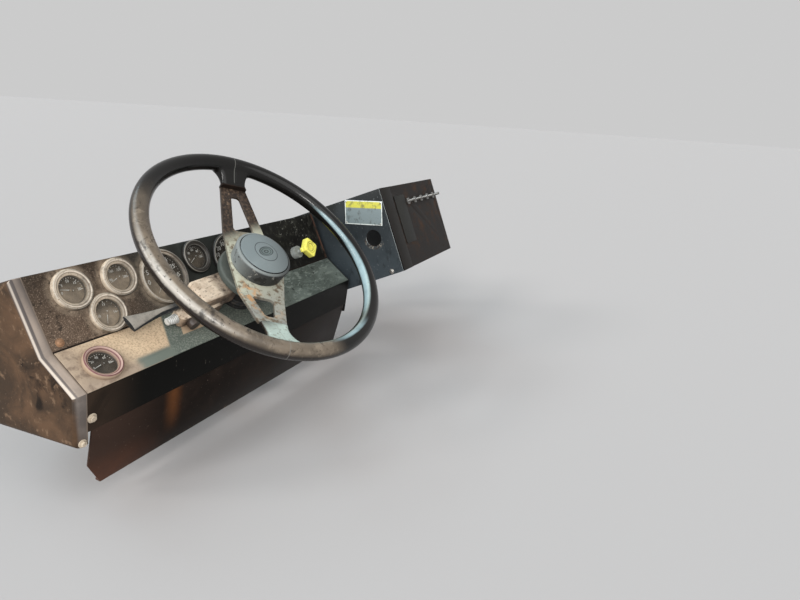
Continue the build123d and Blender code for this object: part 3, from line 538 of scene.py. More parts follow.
def ledge_paint():
    """Tan dust on the ledge, brightened by painted sunlight towards the door and grey-green in
    painted shadow beyond a sharp slanting edge and in one patch, and a nearly clean black band
    below it.
    """
    made = Finish("ledge_paint", (0.004, 0.004, 0.0035), 0.4, 0.0, 0.06)
    level = made.facing(LEDGE_OUT, 0.82, 0.96)
    x = made.reach(ACROSS)
    down = made.reach(LEDGE_DOWN, CREASE)
    slant = made.math("ADD", x, made.times(down, 0.485))
    cloud = made.spots(16, 0.15, 0.55, 7, warp=0.5)
    fine = made.spots(380, 0.42, 0.66, 6)
    # Painted light: the dust shows grey-green in painted shadow, and tan, brightened by painted
    # sunlight, beyond the sharp slanting edge towards the door.
    made.lay((0.105, 0.122, 0.104), 0.55, level)
    made.lay((0.25, 0.265, 0.225), 0.8, level, fine, 0.7)
    door = made.between(slant, -0.154, -0.16)
    tan = made.times(level, door, made.partly(cloud, 0.7))
    made.lay((0.62, 0.47, 0.315), 0.85, tan)
    made.lay((0.33, 0.235, 0.155), 0.9, tan, fine, 0.75)
    lip = made.times(level, door, made.along(LEDGE_DOWN, CREASE + 0.045, CREASE + 0.073))
    made.lay((0.37, 0.285, 0.215), 0.7, lip, made.partly(cloud, 0.4))
    far_left = made.math("SUBTRACT", made.times(down, 0.9), x)
    end = made.times(level, made.between(far_left, 0.255, 0.36), made.partly(cloud, 0.55))
    made.lay((0.33, 0.26, 0.2), 0.7, end, 0.8)
    made.lay((0.14, 0.1, 0.075), 0.7, end, made.spots(90, 0.45, 0.65, 8), 0.6)
    # Painted shadow: a grey-green patch within the sunlit tan.
    shadow_patch = made.times(made.band(x, -0.247, -0.18, 0.008), made.between(down, 0.05, 0.058))
    made.lay((0.145, 0.165, 0.14), 0.6, shadow_patch, level, made.partly(cloud, 0.6))
    slot = made.math("ADD", x, made.times(down, 0.5))
    stuck = made.times(made.band(slot, -0.124, -0.076, 0.001), made.band(down, 0.019, 0.045, 0.001))
    made.lay((0.46, 0.34, 0.23), 0.85, stuck, level)
    far = made.times(made.along(ACROSS, 0.02, 0.16), level)
    made.lay((0.062, 0.076, 0.068), 0.45, far, 0.75)
    cloudy = made.spots(20, 0.42, 0.62, 8, stretch=(0.7, 1.2, 1.2), warp=0.6)
    made.lay((0.14, 0.165, 0.145), 0.5, far, cloudy)
    scuffs = made.spots(70, 0.54, 0.62, 8, stretch=(0.6, 1.6, 1.6), warp=1.2)
    made.lay((0.26, 0.295, 0.26), 0.5, far, scuffs, 0.5)
    made.lay((0.018, 0.02, 0.018), 0.4, far, made.spots(110, 0.58, 0.66, 7, warp=0.5), 0.8)
    band = made.facing(LEDGE_OUT, 0.85, 0.6)
    scratches = made.spots(230, 0.67, 0.71, 5, stretch=(1.3, 1, 0.35))
    made.lay((0.1, 0.09, 0.075), 0.6, scratches, band, 0.7)
    made.lay((0.035, 0.023, 0.016), 0.5, band, made.along(-ACROSS, 0.24, 0.34),
             made.partly(cloud, 0.3))
    made.relief(made.spots(400, 0.25, 0.75))
    return made.done(0.2, 0.35)


def kick_bronze():
    """Dark bronze paint, polished by feet, with a rusty glow and pale chips along its foot."""
    made = Finish("kick_bronze", (0.0075, 0.0045, 0.0032), 0.3, 0.0, 0.08)
    head, hem = span("kick_panel", -UP)
    made.lay((0.019, 0.0115, 0.008), 0.4, made.spots(20, 0.45, 0.8, 6))
    door = made.along(-ACROSS, 0.17, 0.33)
    made.lay((0.045, 0.026, 0.019), 0.33, door, 0.85)
    low = made.times(made.along(-UP, head + 0.04, hem), door)
    made.lay((0.095, 0.036, 0.019), 0.35, low, made.partly(made.spots(12, 0.35, 0.7), 0.4))
    x = made.math("ADD", made.reach(ACROSS), made.times(made.reach(UP), 0.12))
    glow = made.band(x, -0.208, -0.188, 0.014)
    glow = made.times(glow, made.along(-UP, head + 0.1, head + 0.01))
    made.lay((0.17, 0.062, 0.019), 0.3, glow, made.partly(made.spots(9, 0.3, 0.7), 0.5))
    foot = made.along(-UP, hem - 0.006, hem - 0.001)
    made.lay((0.24, 0.18, 0.14), 0.8, foot, made.spots(210, 0.6, 0.68, 8))
    made.lay((0.16, 0.12, 0.095), 0.7, made.spots(320, 0.68, 0.73, 4))
    made.relief(made.spots(40, 0.2, 0.8))
    return made.done(0.06, 0.6)


def cap_vinyl():
    """Brown-grey moulded cover, with painted highlights along its rounded edge."""
    made = Finish("cap_vinyl", (0.04, 0.026, 0.017), 0.5, 0.0, 0.08)
    cloud = made.spots(13, 0.4, 0.7, 7, warp=0.8)
    made.lay((0.1, 0.058, 0.034), 0.6, cloud)
    made.lay((0.014, 0.0095, 0.007), 0.55, made.spots(24, 0.56, 0.7, 6, warp=0.6))
    made.lay((0.18, 0.115, 0.072), 0.6, made.spots(70, 0.56, 0.68, 6), 0.7)
    front = made.facing((0.1, -0.75, 0.65), 0.35, 0.75)
    made.lay((0.085, 0.074, 0.071), 0.42, front, 0.95)
    top, foot = span("end_cap_left", GAUGE_DOWN)
    lower = made.times(front, made.along(GAUGE_DOWN, top + 0.045, foot - 0.02), 0.8)
    made.lay((0.25, 0.215, 0.19), 0.55, lower, made.partly(made.spots(30, 0.35, 0.7, 7), 0.4))
    sloped = made.facing(LEDGE_OUT, 0.93, 0.98)
    made.lay((0.46, 0.375, 0.31), 0.5, sloped, made.partly(cloud, 0.6))
    # Painted highlights along the rounded edge: soft beside the gauge panel, bright beside the
    # ledge.
    ridge_highlight = made.facing((GAUGE_OUT - ACROSS).normalized(), 0.9, 0.99)
    made.lay((0.1, 0.088, 0.082), 0.4, ridge_highlight, 0.5)
    ridge_highlight = made.facing((LEDGE_OUT - ACROSS).normalized(), 0.95, 0.995)
    made.lay((0.64, 0.56, 0.48), 0.4, ridge_highlight, 0.85)
    seam = made.band(made.reach(ACROSS), -0.3432, -0.3414, 0.0003)
    made.lay((0.26, 0.2, 0.15), 0.5, seam, front, made.partly(cloud, 0.4))
    made.lay((0.17, 0.125, 0.09), 0.8, made.spots(300, 0.66, 0.72, 5))
    made.relief(made.spots(380, 0.3, 0.7))
    return made.done(0.15, 0.35)


def bezel_dust(name, centre, radius, normal, amount):
    """Black gauge ring with thin pale lines, and a cream film on the dustier ones, laid heaviest on
    the upper left where it also stands for painted light, with a painted highlight ring.
    """
    made = Finish(name, (0.016, 0.016, 0.015), 0.3, 0.0, 0.4)
    away = made.off_axis(centre, normal)
    film = made.times(made.spots(70, 0.15, 0.6, 6),
                      made.partly(made.along(-ACROSS, 0.06, 0.11), 0.15))
    # The cream dust is laid heaviest towards the upper left, where its brightness also stands for
    # painted light falling from that side.
    high = (-ACROSS - GAUGE_DOWN * 0.4).normalized()
    door = made.along(high, centre.dot(high) - radius * 0.7, centre.dot(high) + radius * 0.6)
    film = made.times(film, made.partly(door, 0.5))
    made.lay((0.56, 0.46, 0.35), 0.7, film, door, amount)
    crest = made.band(away, radius * 0.68, radius * 0.955, 0.0008)
    made.lay((0.62, 0.51, 0.385), 0.7, crest, film, amount)
    # Painted highlight: a bright ring on the bezel's crest.
    bright = made.band(away, radius * 0.835, radius * 0.885, 0.0008)
    made.lay((0.86, 0.78, 0.67), 0.6, bright, film, amount)
    for start, end in ((0.795, 0.82), (0.905, 0.925)):
        groove = made.band(away, radius * start, radius * end, 0.0004)
        made.lay((0.06, 0.045, 0.035), 0.5, groove, 0.75)
        made.relief(groove, -3)
    for start, end, strength in ((0.73, 0.755, 0.55), (0.935, 0.965, 0.8)):
        line = made.band(away, radius * start, radius * end, 0.0004)
        made.lay((0.4, 0.38, 0.33), 0.35, line, made.partly(film, 0.75), strength)
    made.lay((0.2, 0.145, 0.1), 0.8, made.spots(420, 0.56, 0.68, 5), amount)
    made.relief(made.spots(420, 0.2, 0.8))
    return made.done(0.2, 0.3)


def badge_rings(centre, radius, normal):
    """Two dark red rings with pale lines between them."""
    made = Finish("badge_maroon", (0.055, 0.035, 0.033), 0.4, 0.0, 0.3)
    away = made.off_axis(centre, normal)
    film = made.spots(80, 0.3, 0.7, 6)
    made.lay((0.34, 0.235, 0.18), 0.6, made.between(away, radius * 0.68, radius * 0.72))
    made.lay((0.36, 0.265, 0.185), 0.7, made.between(away, radius * 0.95, radius * 0.97))
    for start, end in ((0.90, 0.955), (0.77, 0.82)):
        made.lay((0.12, 0.03, 0.04), 0.4, made.band(away, radius * start, radius * end, 0.0004))
    for start, end in ((0.86, 0.895), (0.83, 0.845)):
        made.lay((0.62, 0.42, 0.39), 0.5, made.band(away, radius * start, radius * end, 0.0003),
                 made.partly(film, 0.5))
    made.lay((0.32, 0.225, 0.17), 0.8, film, 0.35)
    made.relief(made.spots(420, 0.2, 0.8))
    return made.done(0.15, 0.3)


def rusted_steel(name, colour, rust, amount, rough=0.45, metallic=0.5):
    """Bare or painted steel with rust blooms."""
    made = Finish(name, colour, rough, metallic, 0.2)
    bloom = made.spots(26, 0.72 - amount * 0.6, 0.98 - amount * 0.6, 10, rough=0.75)
    made.lay(rust, 0.8, bloom, 0.85)
    made.lay([c * 0.5 for c in rust], 0.8, made.spots(260, 0.6, 0.7, 5))
    made.relief(made.spots(260, 0.2, 0.8, 5))
    return made.done(0.2, 0.4)


def dial_black(name, centre, down, reach, dusty):
    """Matt dial face, browned by dust that has settled low behind the glass."""
    made = Finish(name, (0.01, 0.01, 0.009), 0.6, 0.0, 0.2)
    film = made.times(made.partly(made.spots(50, 0.3, 0.7, 6), 0.5), dusty)
    low = made.along(down, centre.dot(down) - reach * 0.7, centre.dot(down) + reach * 0.3)
    film = made.times(film, made.partly(made.along(-ACROSS, 0.105, 0.13), 0.22))
    made.lay((0.37, 0.3, 0.22), 0.8, film, made.partly(low, 0.25))
    return made.done()


def glass_clear():
    """Clear flat glass with a thin film of dust."""
    made = Finish("gauge_glass", (0.3, 0.25, 0.2), 0.15, 0.0, 0.25)
    film = made.spots(60, 0.35, 0.8, 7)
    door = made.along(-ACROSS, -0.02, 0.3)
    made.link(made.math("ADD", 0.02, made.times(film, door, 0.11)), made.shader.inputs["Alpha"])
    made.rough = made.math("ADD", 0.05, made.times(film, 0.2))
    return made.done()


def plain_paint(name, colour, rough, metallic=0.0, dirt=(0.1, 0.08, 0.06)):
    """One even colour with a little dirt in it."""
    made = Finish(name, colour, rough, metallic)
    made.lay(dirt, rough + 0.2, made.spots(110, 0.5, 0.75, 5), 0.55)
    made.relief(made.spots(300, 0.3, 0.7))
    return made.done(0.12, 0.3)


def switch_dust():
    """Black casting under tan dust, bare on its underside."""
    made = Finish("switch_tan", (0.016, 0.014, 0.013), 0.5, 0.0, 0.3)
    top = (WHEEL_OUT + WHEEL_UP * 0.25).normalized()
    above = made.facing(top, -0.25, 0.2)
    front = made.facing(top, -0.85, -0.4)
    made.lay((0.36, 0.26, 0.18), 0.85, front, made.partly(made.spots(45, 0.4, 0.6, 7), 0.35))
    made.lay((0.5, 0.39, 0.285), 0.85, above)
    made.lay((0.7, 0.58, 0.45), 0.85, above, made.spots(60, 0.35, 0.6, 7))
    grain = made.spots(300, 0.54, 0.68, 6, stretch=(0.4, 1, 1))
    made.lay((0.15, 0.1, 0.07), 0.9, grain, 0.85)
    made.lay((0.045, 0.03, 0.022), 0.7, made.along(ACROSS, -0.078, -0.062),
             made.partly(made.spots(80, 0.4, 0.7), 0.5))
    made.relief(made.spots(240, 0.25, 0.75, 6))
    return made.done(0.4, 0.6)


def lever_paint():
    """Black plastic, its upper face dulled by grey-brown dust."""
    made = Finish("lever_black", (0.012, 0.014, 0.016), 0.35, 0.0, 0.25)
    above = made.facing((0, -0.1, 0.995), 0.42, 0.6)
    paddle = made.along(-ACROSS, 0.15, 0.18)
    dusty = made.times(above, made.partly(paddle, 0.12))
    made.lay((0.31, 0.28, 0.24), 0.65, dusty, made.partly(made.spots(70, 0.3, 0.6, 7), 0.6))
    made.lay((0.15, 0.14, 0.12), 0.6, made.spots(300, 0.55, 0.68, 5), 0.5)
    made.relief(made.spots(420, 0.25, 0.75))
    return made.done(0.2, 0.3)


def lens_clear():
    """Pale fluted plastic, darker in stripes across its flutes."""
    made = Finish("lens_clear", (0.74, 0.75, 0.72), 0.2)
    flutes = made.math("SINE", made.times(made.reach(ACROSS), 2100))
    made.lay((0.26, 0.25, 0.225), 0.3, made.between(flutes, 0.1, 0.7), 0.75)
    made.lay((0.24, 0.23, 0.21), 0.4, made.spots(90, 0.5, 0.62), 0.6)
    return made.done()


def knob_yellow(centre):
    """Yellow plastic, darker in its corners and round its raised ring."""
    made = Finish("knob_yellow", (0.93, 0.87, 0.15), 0.38, 0.0, 0.4)
    away = made.off_axis(centre, GAUGE_OUT)
    for start, end in ((0.0073, 0.0088), (0.0112, 0.0124)):
        made.lay((0.27, 0.235, 0.035), 0.6, made.band(away, start, end, 0.0004), 0.8)
    side = made.facing(GAUGE_OUT, 0.8, 0.3)
    made.lay((0.4, 0.36, 0.07), 0.5, side, 0.35)
    made.lay((0.36, 0.32, 0.06), 0.6, made.spots(120, 0.56, 0.68, 6), 0.5)
    made.relief(made.spots(300, 0.3, 0.7))
    return made.done(0.12, 0.3)


def wing_paint(hole):
    """Blue-grey paint, with painted highlights along the folded edges and painted shade high up
    towards the front, scratched below the hole.
    """
    made = Finish("wing_paint", (0.019, 0.023, 0.026), 0.36, 0.0, 0.15)
    made.lay((0.036, 0.042, 0.046), 0.42, made.spots(9, 0.35, 0.8, 7, warp=0.4))
    made.lay((0.011, 0.012, 0.011), 0.4, made.along(UP, 0.1, 0.16), 0.6)
    made.lay((0.05, 0.064, 0.073), 0.45, made.along(-UP, -0.09, 0.03), 0.6)
    upright = made.spots(60, 0.54, 0.7, 7, stretch=(1, 1, 0.5))
    made.lay((0.012, 0.014, 0.016), 0.45, upright, 0.6)
    # Painted shade: darker high up towards the front.
    shut = made.times(made.along((0, 1, 0), -0.205, -0.175), made.along(UP, 0.055, 0.1))
    made.lay((0.007, 0.0075, 0.006), 0.45, shut, 0.75)
    away = made.off_axis(hole, ACROSS)
    low = made.along(-UP, -hole.z + 0.002, -hole.z + 0.014)
    torn = made.times(made.between(away, 0.0285, 0.0225), low)
    made.lay((0.26, 0.23, 0.19), 0.8, torn, made.spots(230, 0.5, 0.6, 6))
    made.lay((0.035, 0.024, 0.018), 0.8, torn, made.spots(150, 0.5, 0.62, 6))
    # Painted highlight along the folded edges.
    ridge_highlight = made.facing((CENTRE_OUT - ACROSS).normalized(), 0.93, 0.99)
    made.lay((0.46, 0.49, 0.48), 0.4, ridge_highlight, 0.9)
    made.lay((0.17, 0.185, 0.185), 0.6, made.spots(240, 0.66, 0.71, 5), 0.8)
    made.relief(made.spots(420, 0.25, 0.75))
    return made.done(0.12, 0.3)


def placard_print(origin, along, up):
    """Yellow heading over a grey field with a white border, left without words."""
    made = Finish("placard_print", (0.17, 0.21, 0.218), 0.4)
    x = made.reach(along, origin.dot(along))
    z = made.reach(up, origin.dot(up))
    inside = made.times(made.band(x, 0.002, 0.0925, 0.0002), made.band(z, 0.002, 0.052, 0.0002))
    made.lay((0.5, 0.475, 0.065), 0.45, made.band(z, 0.0375, 0.052, 0.0002))
    made.lay((0.62, 0.66, 0.64), 0.5, made.without(1, inside))
    made.lay((0.05, 0.055, 0.05), 0.6, made.spots(90, 0.5, 0.66, 6), 0.7)
    made.lay((0.03, 0.03, 0.028), 0.6, made.spots(300, 0.66, 0.72, 4))
    return made.done()


# Modelling helpers

def select(*pieces):
    """Selects only these pieces, the first one active."""
    bpy.ops.object.select_all(action="DESELECT")
    for piece in pieces:
        piece.select_set(True)
    if pieces:
        bpy.context.view_layer.objects.active = pieces[0]


def edit(kind="VERT"):
    """Opens the active piece in edit mode, with all of its mesh selected."""
    bpy.ops.object.mode_set(mode="EDIT")
    bpy.ops.mesh.select_mode(type=kind)
    bpy.ops.mesh.select_all(action="SELECT")


def shut():
    """Turns all faces outwards and leaves edit mode."""
    bpy.ops.mesh.select_all(action="SELECT")
    bpy.ops.mesh.normals_make_consistent(inside=False)
    bpy.ops.object.mode_set(mode="OBJECT")


def smooth():
    bpy.ops.object.shade_smooth_by_angle(angle=SMOOTH_ANGLE)


def paint(piece, material):
    piece.data.materials.clear()
    piece.data.materials.append(material)
    return piece


def settle(piece, place, body=PANEL_BODY):
    """Puts a piece made in its own frame at its place, and lets it ride on a body."""
    select(piece)
    piece.matrix_world = place
    bpy.ops.object.transform_apply()
    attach(piece, body)


def active(name):
    piece = bpy.context.object
    piece.name = name
    piece.data.name = name
    return piece


def lathe(name, rings, segments=64, closed=True):
    """A turned piece: a circle drawn up from ring to ring, each a radius and a height in mm."""
    select()
    radius, height = rings[0]
    bpy.ops.mesh.primitive_circle_add(
        vertices=segments, radius=radius * MM, location=(0, 0, height * MM)
    )
    piece = active(name)
    bpy.ops.object.transform_apply()
    edit("EDGE")
    if closed:
        bpy.ops.mesh.edge_face_add()
    for (before, low), (after, high) in zip(rings, rings[1:]):
        bpy.ops.mesh.extrude_edges_move(TRANSFORM_OT_translate={"value": (0, 0, (high - low) * MM)})
        scale = after / before
        bpy.ops.transform.resize(value=(scale, scale, 1), center_override=(0, 0, high * MM))
    if closed:
        bpy.ops.mesh.edge_face_add()
    shut()
    smooth()
    if not closed:
        edit("EDGE")
        bpy.ops.mesh.bridge_edge_loops()
        shut()
    return piece


def box(name, size, centre=(0, 0, 0), bevel=0.0):
    """A block with rounded edges, its measures in mm."""
    select()
    place = [c * MM for c in centre]
    bpy.ops.mesh.primitive_cube_add(size=1, location=place, scale=[s * MM for s in size])
    piece = active(name)
    bpy.ops.object.transform_apply()
    if bevel:
        edit()
        bpy.ops.mesh.bevel(offset=bevel * MM, segments=3, affect="EDGES")
        shut()
    smooth()
    return piece


def bar(name, size, centre, corner, segments):
    """A block with round upright corners, measured in mm and left in edit mode."""
    piece = box(name, size, centre)
    edit()
    pick(piece, "EDGE", upright)
    bpy.ops.mesh.bevel(offset=corner * MM, segments=segments, affect="EDGES")
    return piece


def turned(piece, turn):
    """Turns a piece about the world's z."""
    piece.matrix_world = Matrix.Rotation(turn, 4, "Z")
    bpy.ops.object.transform_apply()
    return piece


def join(name, *pieces):
    """Several pieces made one."""
    select(*pieces)
    bpy.ops.object.join()
    return active(name)


def copy_piece(piece, name):
    """A copy with its own mesh, selected alone."""
    made = piece.copy()
    made.data = piece.data.copy()
    bpy.context.scene.collection.objects.link(made)
    made.name = name
    made.data.name = name
    select(made)
    return made


def copy_of(node, name):
    """A merged copy of a CAD node's mesh, to be worked on."""
    piece = copy_piece(frame["nodes"][node], name)
    piece.parent = None
    for key in list(piece.keys()):
        del piece[key]
    edit()
    bpy.ops.mesh.remove_doubles(threshold=0.01 * MM)
    bpy.ops.mesh.normals_make_consistent(inside=False)
    bpy.ops.mesh.dissolve_limited(angle_limit=math.radians(0.5))
    bpy.ops.object.mode_set(mode="OBJECT")
    return piece


def pick(piece, kind, wanted):
    """Selects only the faces or the edges, in edit mode, that a test picks."""
    bpy.ops.mesh.select_mode(type=kind)
    bpy.ops.mesh.select_all(action="DESELECT")
    mesh = bmesh.from_edit_mesh(piece.data)
    for part in mesh.faces if kind == "FACE" else mesh.edges:
        part.select_set(wanted(part))
    bmesh.update_edit_mesh(piece.data)


def upright(edge):
    """True for an edge that runs along the piece's z."""
    start, end = (v.co for v in edge.verts)
    return abs((end - start).normalized().z) > 0.9


def apply_all(piece):
    select(piece)
    for modifier in list(piece.modifiers):
        bpy.ops.object.modifier_apply(modifier=modifier.name)


def rounded_copy(node, name, width):
    """A copy of a CAD node with its sharp edges eased, and smooth curves."""
    piece = copy_of(node, name)
    bevel = piece.modifiers.new("Eased edges", "BEVEL")
    bevel.width = width
    bevel.segments = 2
    bevel.limit_method = "ANGLE"
    bevel.angle_limit = math.radians(30)
    apply_all(piece)
    smooth()
    return piece


def melted_copy(node, name, voxel, rounds):
    """A copy of a CAD node melted into one lump, its corners worn round."""
    piece = copy_of(node, name)
    remesh = piece.modifiers.new("One lump", "REMESH")
    remesh.mode = "VOXEL"
    remesh.voxel_size = voxel
    worn = piece.modifiers.new("Worn round", "SMOOTH")
    worn.factor = 0.5
    worn.iterations = rounds
    apply_all(piece)
    bpy.ops.object.shade_smooth()
    return piece


def stand_for(piece, material, body, slot, *nodes):
    """The piece takes the place of CAD nodes."""
    paint(piece, material)
    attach(piece, body)
    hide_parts(*nodes)


def dress(plans, body=PANEL_BODY):
    """Eased copies for CAD nodes: node, name, easing, material and slot of each."""
    for node, name, ease, material, slot in plans:
        stand_for(rounded_copy(node, name, ease), material, body, slot, node)


# Operators

class DRESS_OT_stage(bpy.types.Operator):
    """Adds the floor, the lamps and the camera"""

    bl_idname = "dress.stage"
    bl_label = "Studio Stage"

    DOOR = (1.0, 0.98, 0.96)
    SKY = (0.72, 0.90, 1.0)
    # lamp, direction that it shines from, breadth in degrees, strength, colour
    LAMPS = (
        ("door_1", (-0.66, 0.56, 0.50), 14, 0.75, DOOR),
        ("door_2", (-0.84, 0.20, 0.50), 14, 0.95, DOOR),
        ("door_3", (-0.88, -0.20, 0.43), 14, 0.95, DOOR),
        ("door_4", (-0.72, -0.58, 0.38), 14, 0.95, DOOR),
        ("windscreen_1", (-0.63, 0.03, 0.77), 24, 0.45, SKY),
        ("windscreen_2", (-0.33, 0.38, 0.86), 24, 0.45, SKY),
        ("windscreen_3", (0.0, 0.68, 0.73), 24, 0.40, SKY),
        ("fill", (-0.30, -0.72, 0.62), 60, 1.15, (1.0, 1.0, 1.0)),
    )
    # the camera's place in mm, its yaw, pitch and roll, its focal length and sensor width
    EYE = (-815.8, -891.6, 341.6)
    AIM = (0.421, 0.307, 0.066)
    FOCAL_LENGTH, SENSOR_WIDTH = 26.725, 36.0

    def execute(self, context):
        sizes = context.scene.dress_stage
        select()
        bpy.ops.mesh.primitive_circle_add(
            vertices=128, radius=sizes.floor_radius, fill_type="NGON", location=(0, 0, CAD_LOW.z)
        )
        floor = active("studio_floor")
        paint(floor, Finish("studio_floor", sizes.floor_colour, 0.9).done())
        for name, way, breadth, strength, colour in self.LAMPS:
            select()
            bpy.ops.object.light_add(type="SUN", location=Vector(way) * 2.0)
            lamp = active(name)
            lamp.data.angle = math.radians(breadth)
            lamp.data.energy = sizes.lamp_strength * strength
            lamp.data.color = colour
            lamp.rotation_euler = (-Vector(way)).to_track_quat("-Z", "Y").to_euler()
        context.scene.view_settings.view_transform = "Standard"
        self.world(context, sizes)
        self.camera(context)
        return {"FINISHED"}

    def world(self, context, sizes):
        """Even light from all round, seen by the camera and in gloss as a pale backdrop."""
        world = bpy.data.worlds.new("studio_world")
        context.scene.world = world
        world.use_nodes = True
        tree = world.node_tree
        tree.nodes.clear()
        light = tree.nodes.new("ShaderNodeBackground")
        light.inputs["Strength"].default_value = sizes.world_strength
        shown = tree.nodes.new("ShaderNodeBackground")
        shown.inputs["Color"].default_value = (*sizes.backdrop_colour, 1)
        path = tree.nodes.new("ShaderNodeLightPath")
        seen = path.outputs["Is Camera Ray"]
        for ray in ("Is Glossy Ray", "Is Transmission Ray"):
            either = tree.nodes.new("ShaderNodeMath")
            either.operation = "MAXIMUM"
            tree.links.new(seen, either.inputs[0])
            tree.links.new(path.outputs[ray], either.inputs[1])
            seen = either.outputs[0]
        mix = tree.nodes.new("ShaderNodeMixShader")
        out = tree.nodes.new("ShaderNodeOutputWorld")
        tree.links.new(seen, mix.inputs["Fac"])
        tree.links.new(light.outputs[0], mix.inputs[1])
        tree.links.new(shown.outputs[0], mix.inputs[2])
        tree.links.new(mix.outputs[0], out.inputs["Surface"])

    def camera(self, context):
        """The photograph's own viewpoint, leaning a little as it does."""
        yaw, pitch, roll = self.AIM
        level = Vector((math.cos(yaw), math.sin(yaw), 0))
        ahead = level * math.cos(pitch) - UP * math.sin(pitch)
        right = ahead.cross(UP).normalized()
        up = right.cross(ahead)
        tilted_right = right * math.cos(roll) + up * math.sin(roll)
        tilted_up = up * math.cos(roll) - right * math.sin(roll)
        select()
        bpy.ops.object.camera_add()
        camera = active("photo_camera")
        rows = [(tilted_right[i], tilted_up[i], -ahead[i], self.EYE[i] * MM) for i in range(3)]
        camera.matrix_world = Matrix((*rows, (0, 0, 0, 1)))
        camera.data.sensor_width = self.SENSOR_WIDTH
        camera.data.lens = self.FOCAL_LENGTH
        camera.data.clip_start = 0.01
        context.scene.camera = camera


class DRESS_OT_sheets(bpy.types.Operator):
    """Eases the edges of the driver's panel and dusts its sheets"""

    bl_idname = "dress.sheets"
    bl_label = "Driver's Panel"

    # middle of the cover's top edge, and the row of outlets
    COVER_EDGE = Vector((0.002, -0.1316, 0.1026))
    OUTLETS = 5
    OUTLET_STEP = 0.128
    # one outlet in mm
    NOZZLE = (101.2, 14.2, 1.0)
    NOZZLE_CORNER = 7.0
    NOZZLE_DEPTH = 7.0
    VANE = (1.2, 8.6, 5.0)
    VANE_STEP = 10.5

    def execute(self, context):
        ease = context.scene.dress_sheets.edge
        rings = [ring_seat("gauge_{}_bezel".format(i), GAUGE_OUT)[:2] for i in (1, 2, 3, 4)]
        cover = dusty_paint("cover_black", (0.012, 0.012, 0.012), (0.13, 0.105, 0.082), 0.42)
        end_black = dusty_paint("end_black", (0.007, 0.007, 0.007), (0.05, 0.042, 0.035), 0.3)
        dress((
            ("top_cover", "eased_cover", ease, cover, "panel_black"),
            ("gauge_panel", "eased_gauge_panel", ease, gauge_panel_paint(rings), "panel_black"),
            ("dash_lip", "eased_ledge", ease, ledge_paint(), "ledge_dusty"),
            ("kick_panel", "eased_kick_panel", ease, kick_bronze(), "kick_bronze"),
            ("end_cap_left", "eased_end_cap", ease, cap_vinyl(), "cap_brown"),
            ("end_plate_right", "eased_end_plate", ease, end_black, "panel_black"),
        ))
        self.outlets(context.scene.dress_sheets.outlet_back)
        return {"FINISHED"}

    def outlets(self, back):
        """A vaned nozzle in each slot of the top cover."""
        nozzle = bar("nozzle", self.NOZZLE, (0, 0, 0.5), self.NOZZLE_CORNER, 8)
        for way, wall in ((-1, 2.8), (1, 3.4)):
            pick(nozzle, "FACE", lambda face: face.normal.z * way > 0.9)
            bpy.ops.mesh.inset(thickness=wall * MM)
            down = {"value": (0, 0, -self.NOZZLE_DEPTH * MM)}
            bpy.ops.mesh.extrude_region_move(TRANSFORM_OT_translate=down)
        shut()
        steps = [self.VANE_STEP * i for i in range(-4, 5)]
        vanes = [box("vane", self.VANE, (x, 0, -2.6), 0.3) for x in steps]
        outlet = join("outlet_model", nozzle, *vanes)
        smooth()
        black = dusty_paint("outlet_black", (0.012, 0.012, 0.012), (0.14, 0.11, 0.085), 0.4)
        paint(outlet, black)
        out = facing("top_cover", (0, 0.34, 0.94))
        row = self.COVER_EDGE + out.cross(ACROSS) * back
        for i in range(self.OUTLETS):
            centre = row + ACROSS * self.OUTLET_STEP * (i - self.OUTLETS // 2)
            piece = copy_piece(outlet, "outlet_{}".format(i + 1))
            settle(piece, frame_at(centre, out))
        bpy.data.objects.remove(outlet)


class DRESS_OT_frame(bpy.types.Operator):
    """Paints the frame behind the panel, and the column"""

    bl_idname = "dress.frame"
    bl_label = "Frame and Column"

    BLACK_STEEL = (
        "bracket_left", "bracket_right", "centre_bracket_left", "centre_bracket_right",
        "cross_rail", "cowl_rail", "column_hanger", "column_flange",
    )
    BRIGHT_STEEL = ("steering_shaft", "upper_bearing", "lower_bearing", "joint_spacers")

    def execute(self, context):
        black = rusted_steel("frame_steel", (0.045, 0.045, 0.043), (0.14, 0.055, 0.028), 0.42)
        bright = rusted_steel(
            "ground_steel", (0.42, 0.40, 0.37), (0.2, 0.11, 0.06), 0.3, 0.35, 0.9
        )
        column = dusty_paint("column_black", (0.020, 0.022, 0.024), (0.16, 0.13, 0.10), 0.4)
        case = dusty_paint("case_grey", (0.22, 0.22, 0.21), (0.2, 0.16, 0.12), 0.35, 0.35, 0.8)
        rubber = plain_paint("boot_rubber", (0.018, 0.018, 0.018), 0.7)
        valve = dusty_paint("valve_grey", (0.40, 0.43, 0.41), (0.20, 0.18, 0.15), 0.35, 0.3, 0.2)
        cases = [name for name in frame["nodes"] if name.endswith("_case")]
        painted = (
            (self.BLACK_STEEL, black),
            (self.BRIGHT_STEEL, bright),
            (cases, case),
            (("column_jacket",), column),
            (("column_boot",), rubber),
            (("valve_body",), valve),
            (("gauge_glasses",), glass_clear()),
        )
        for names, material in painted:
            for name in names:
                paint(frame["nodes"][name], material)
        return {"FINISHED"}


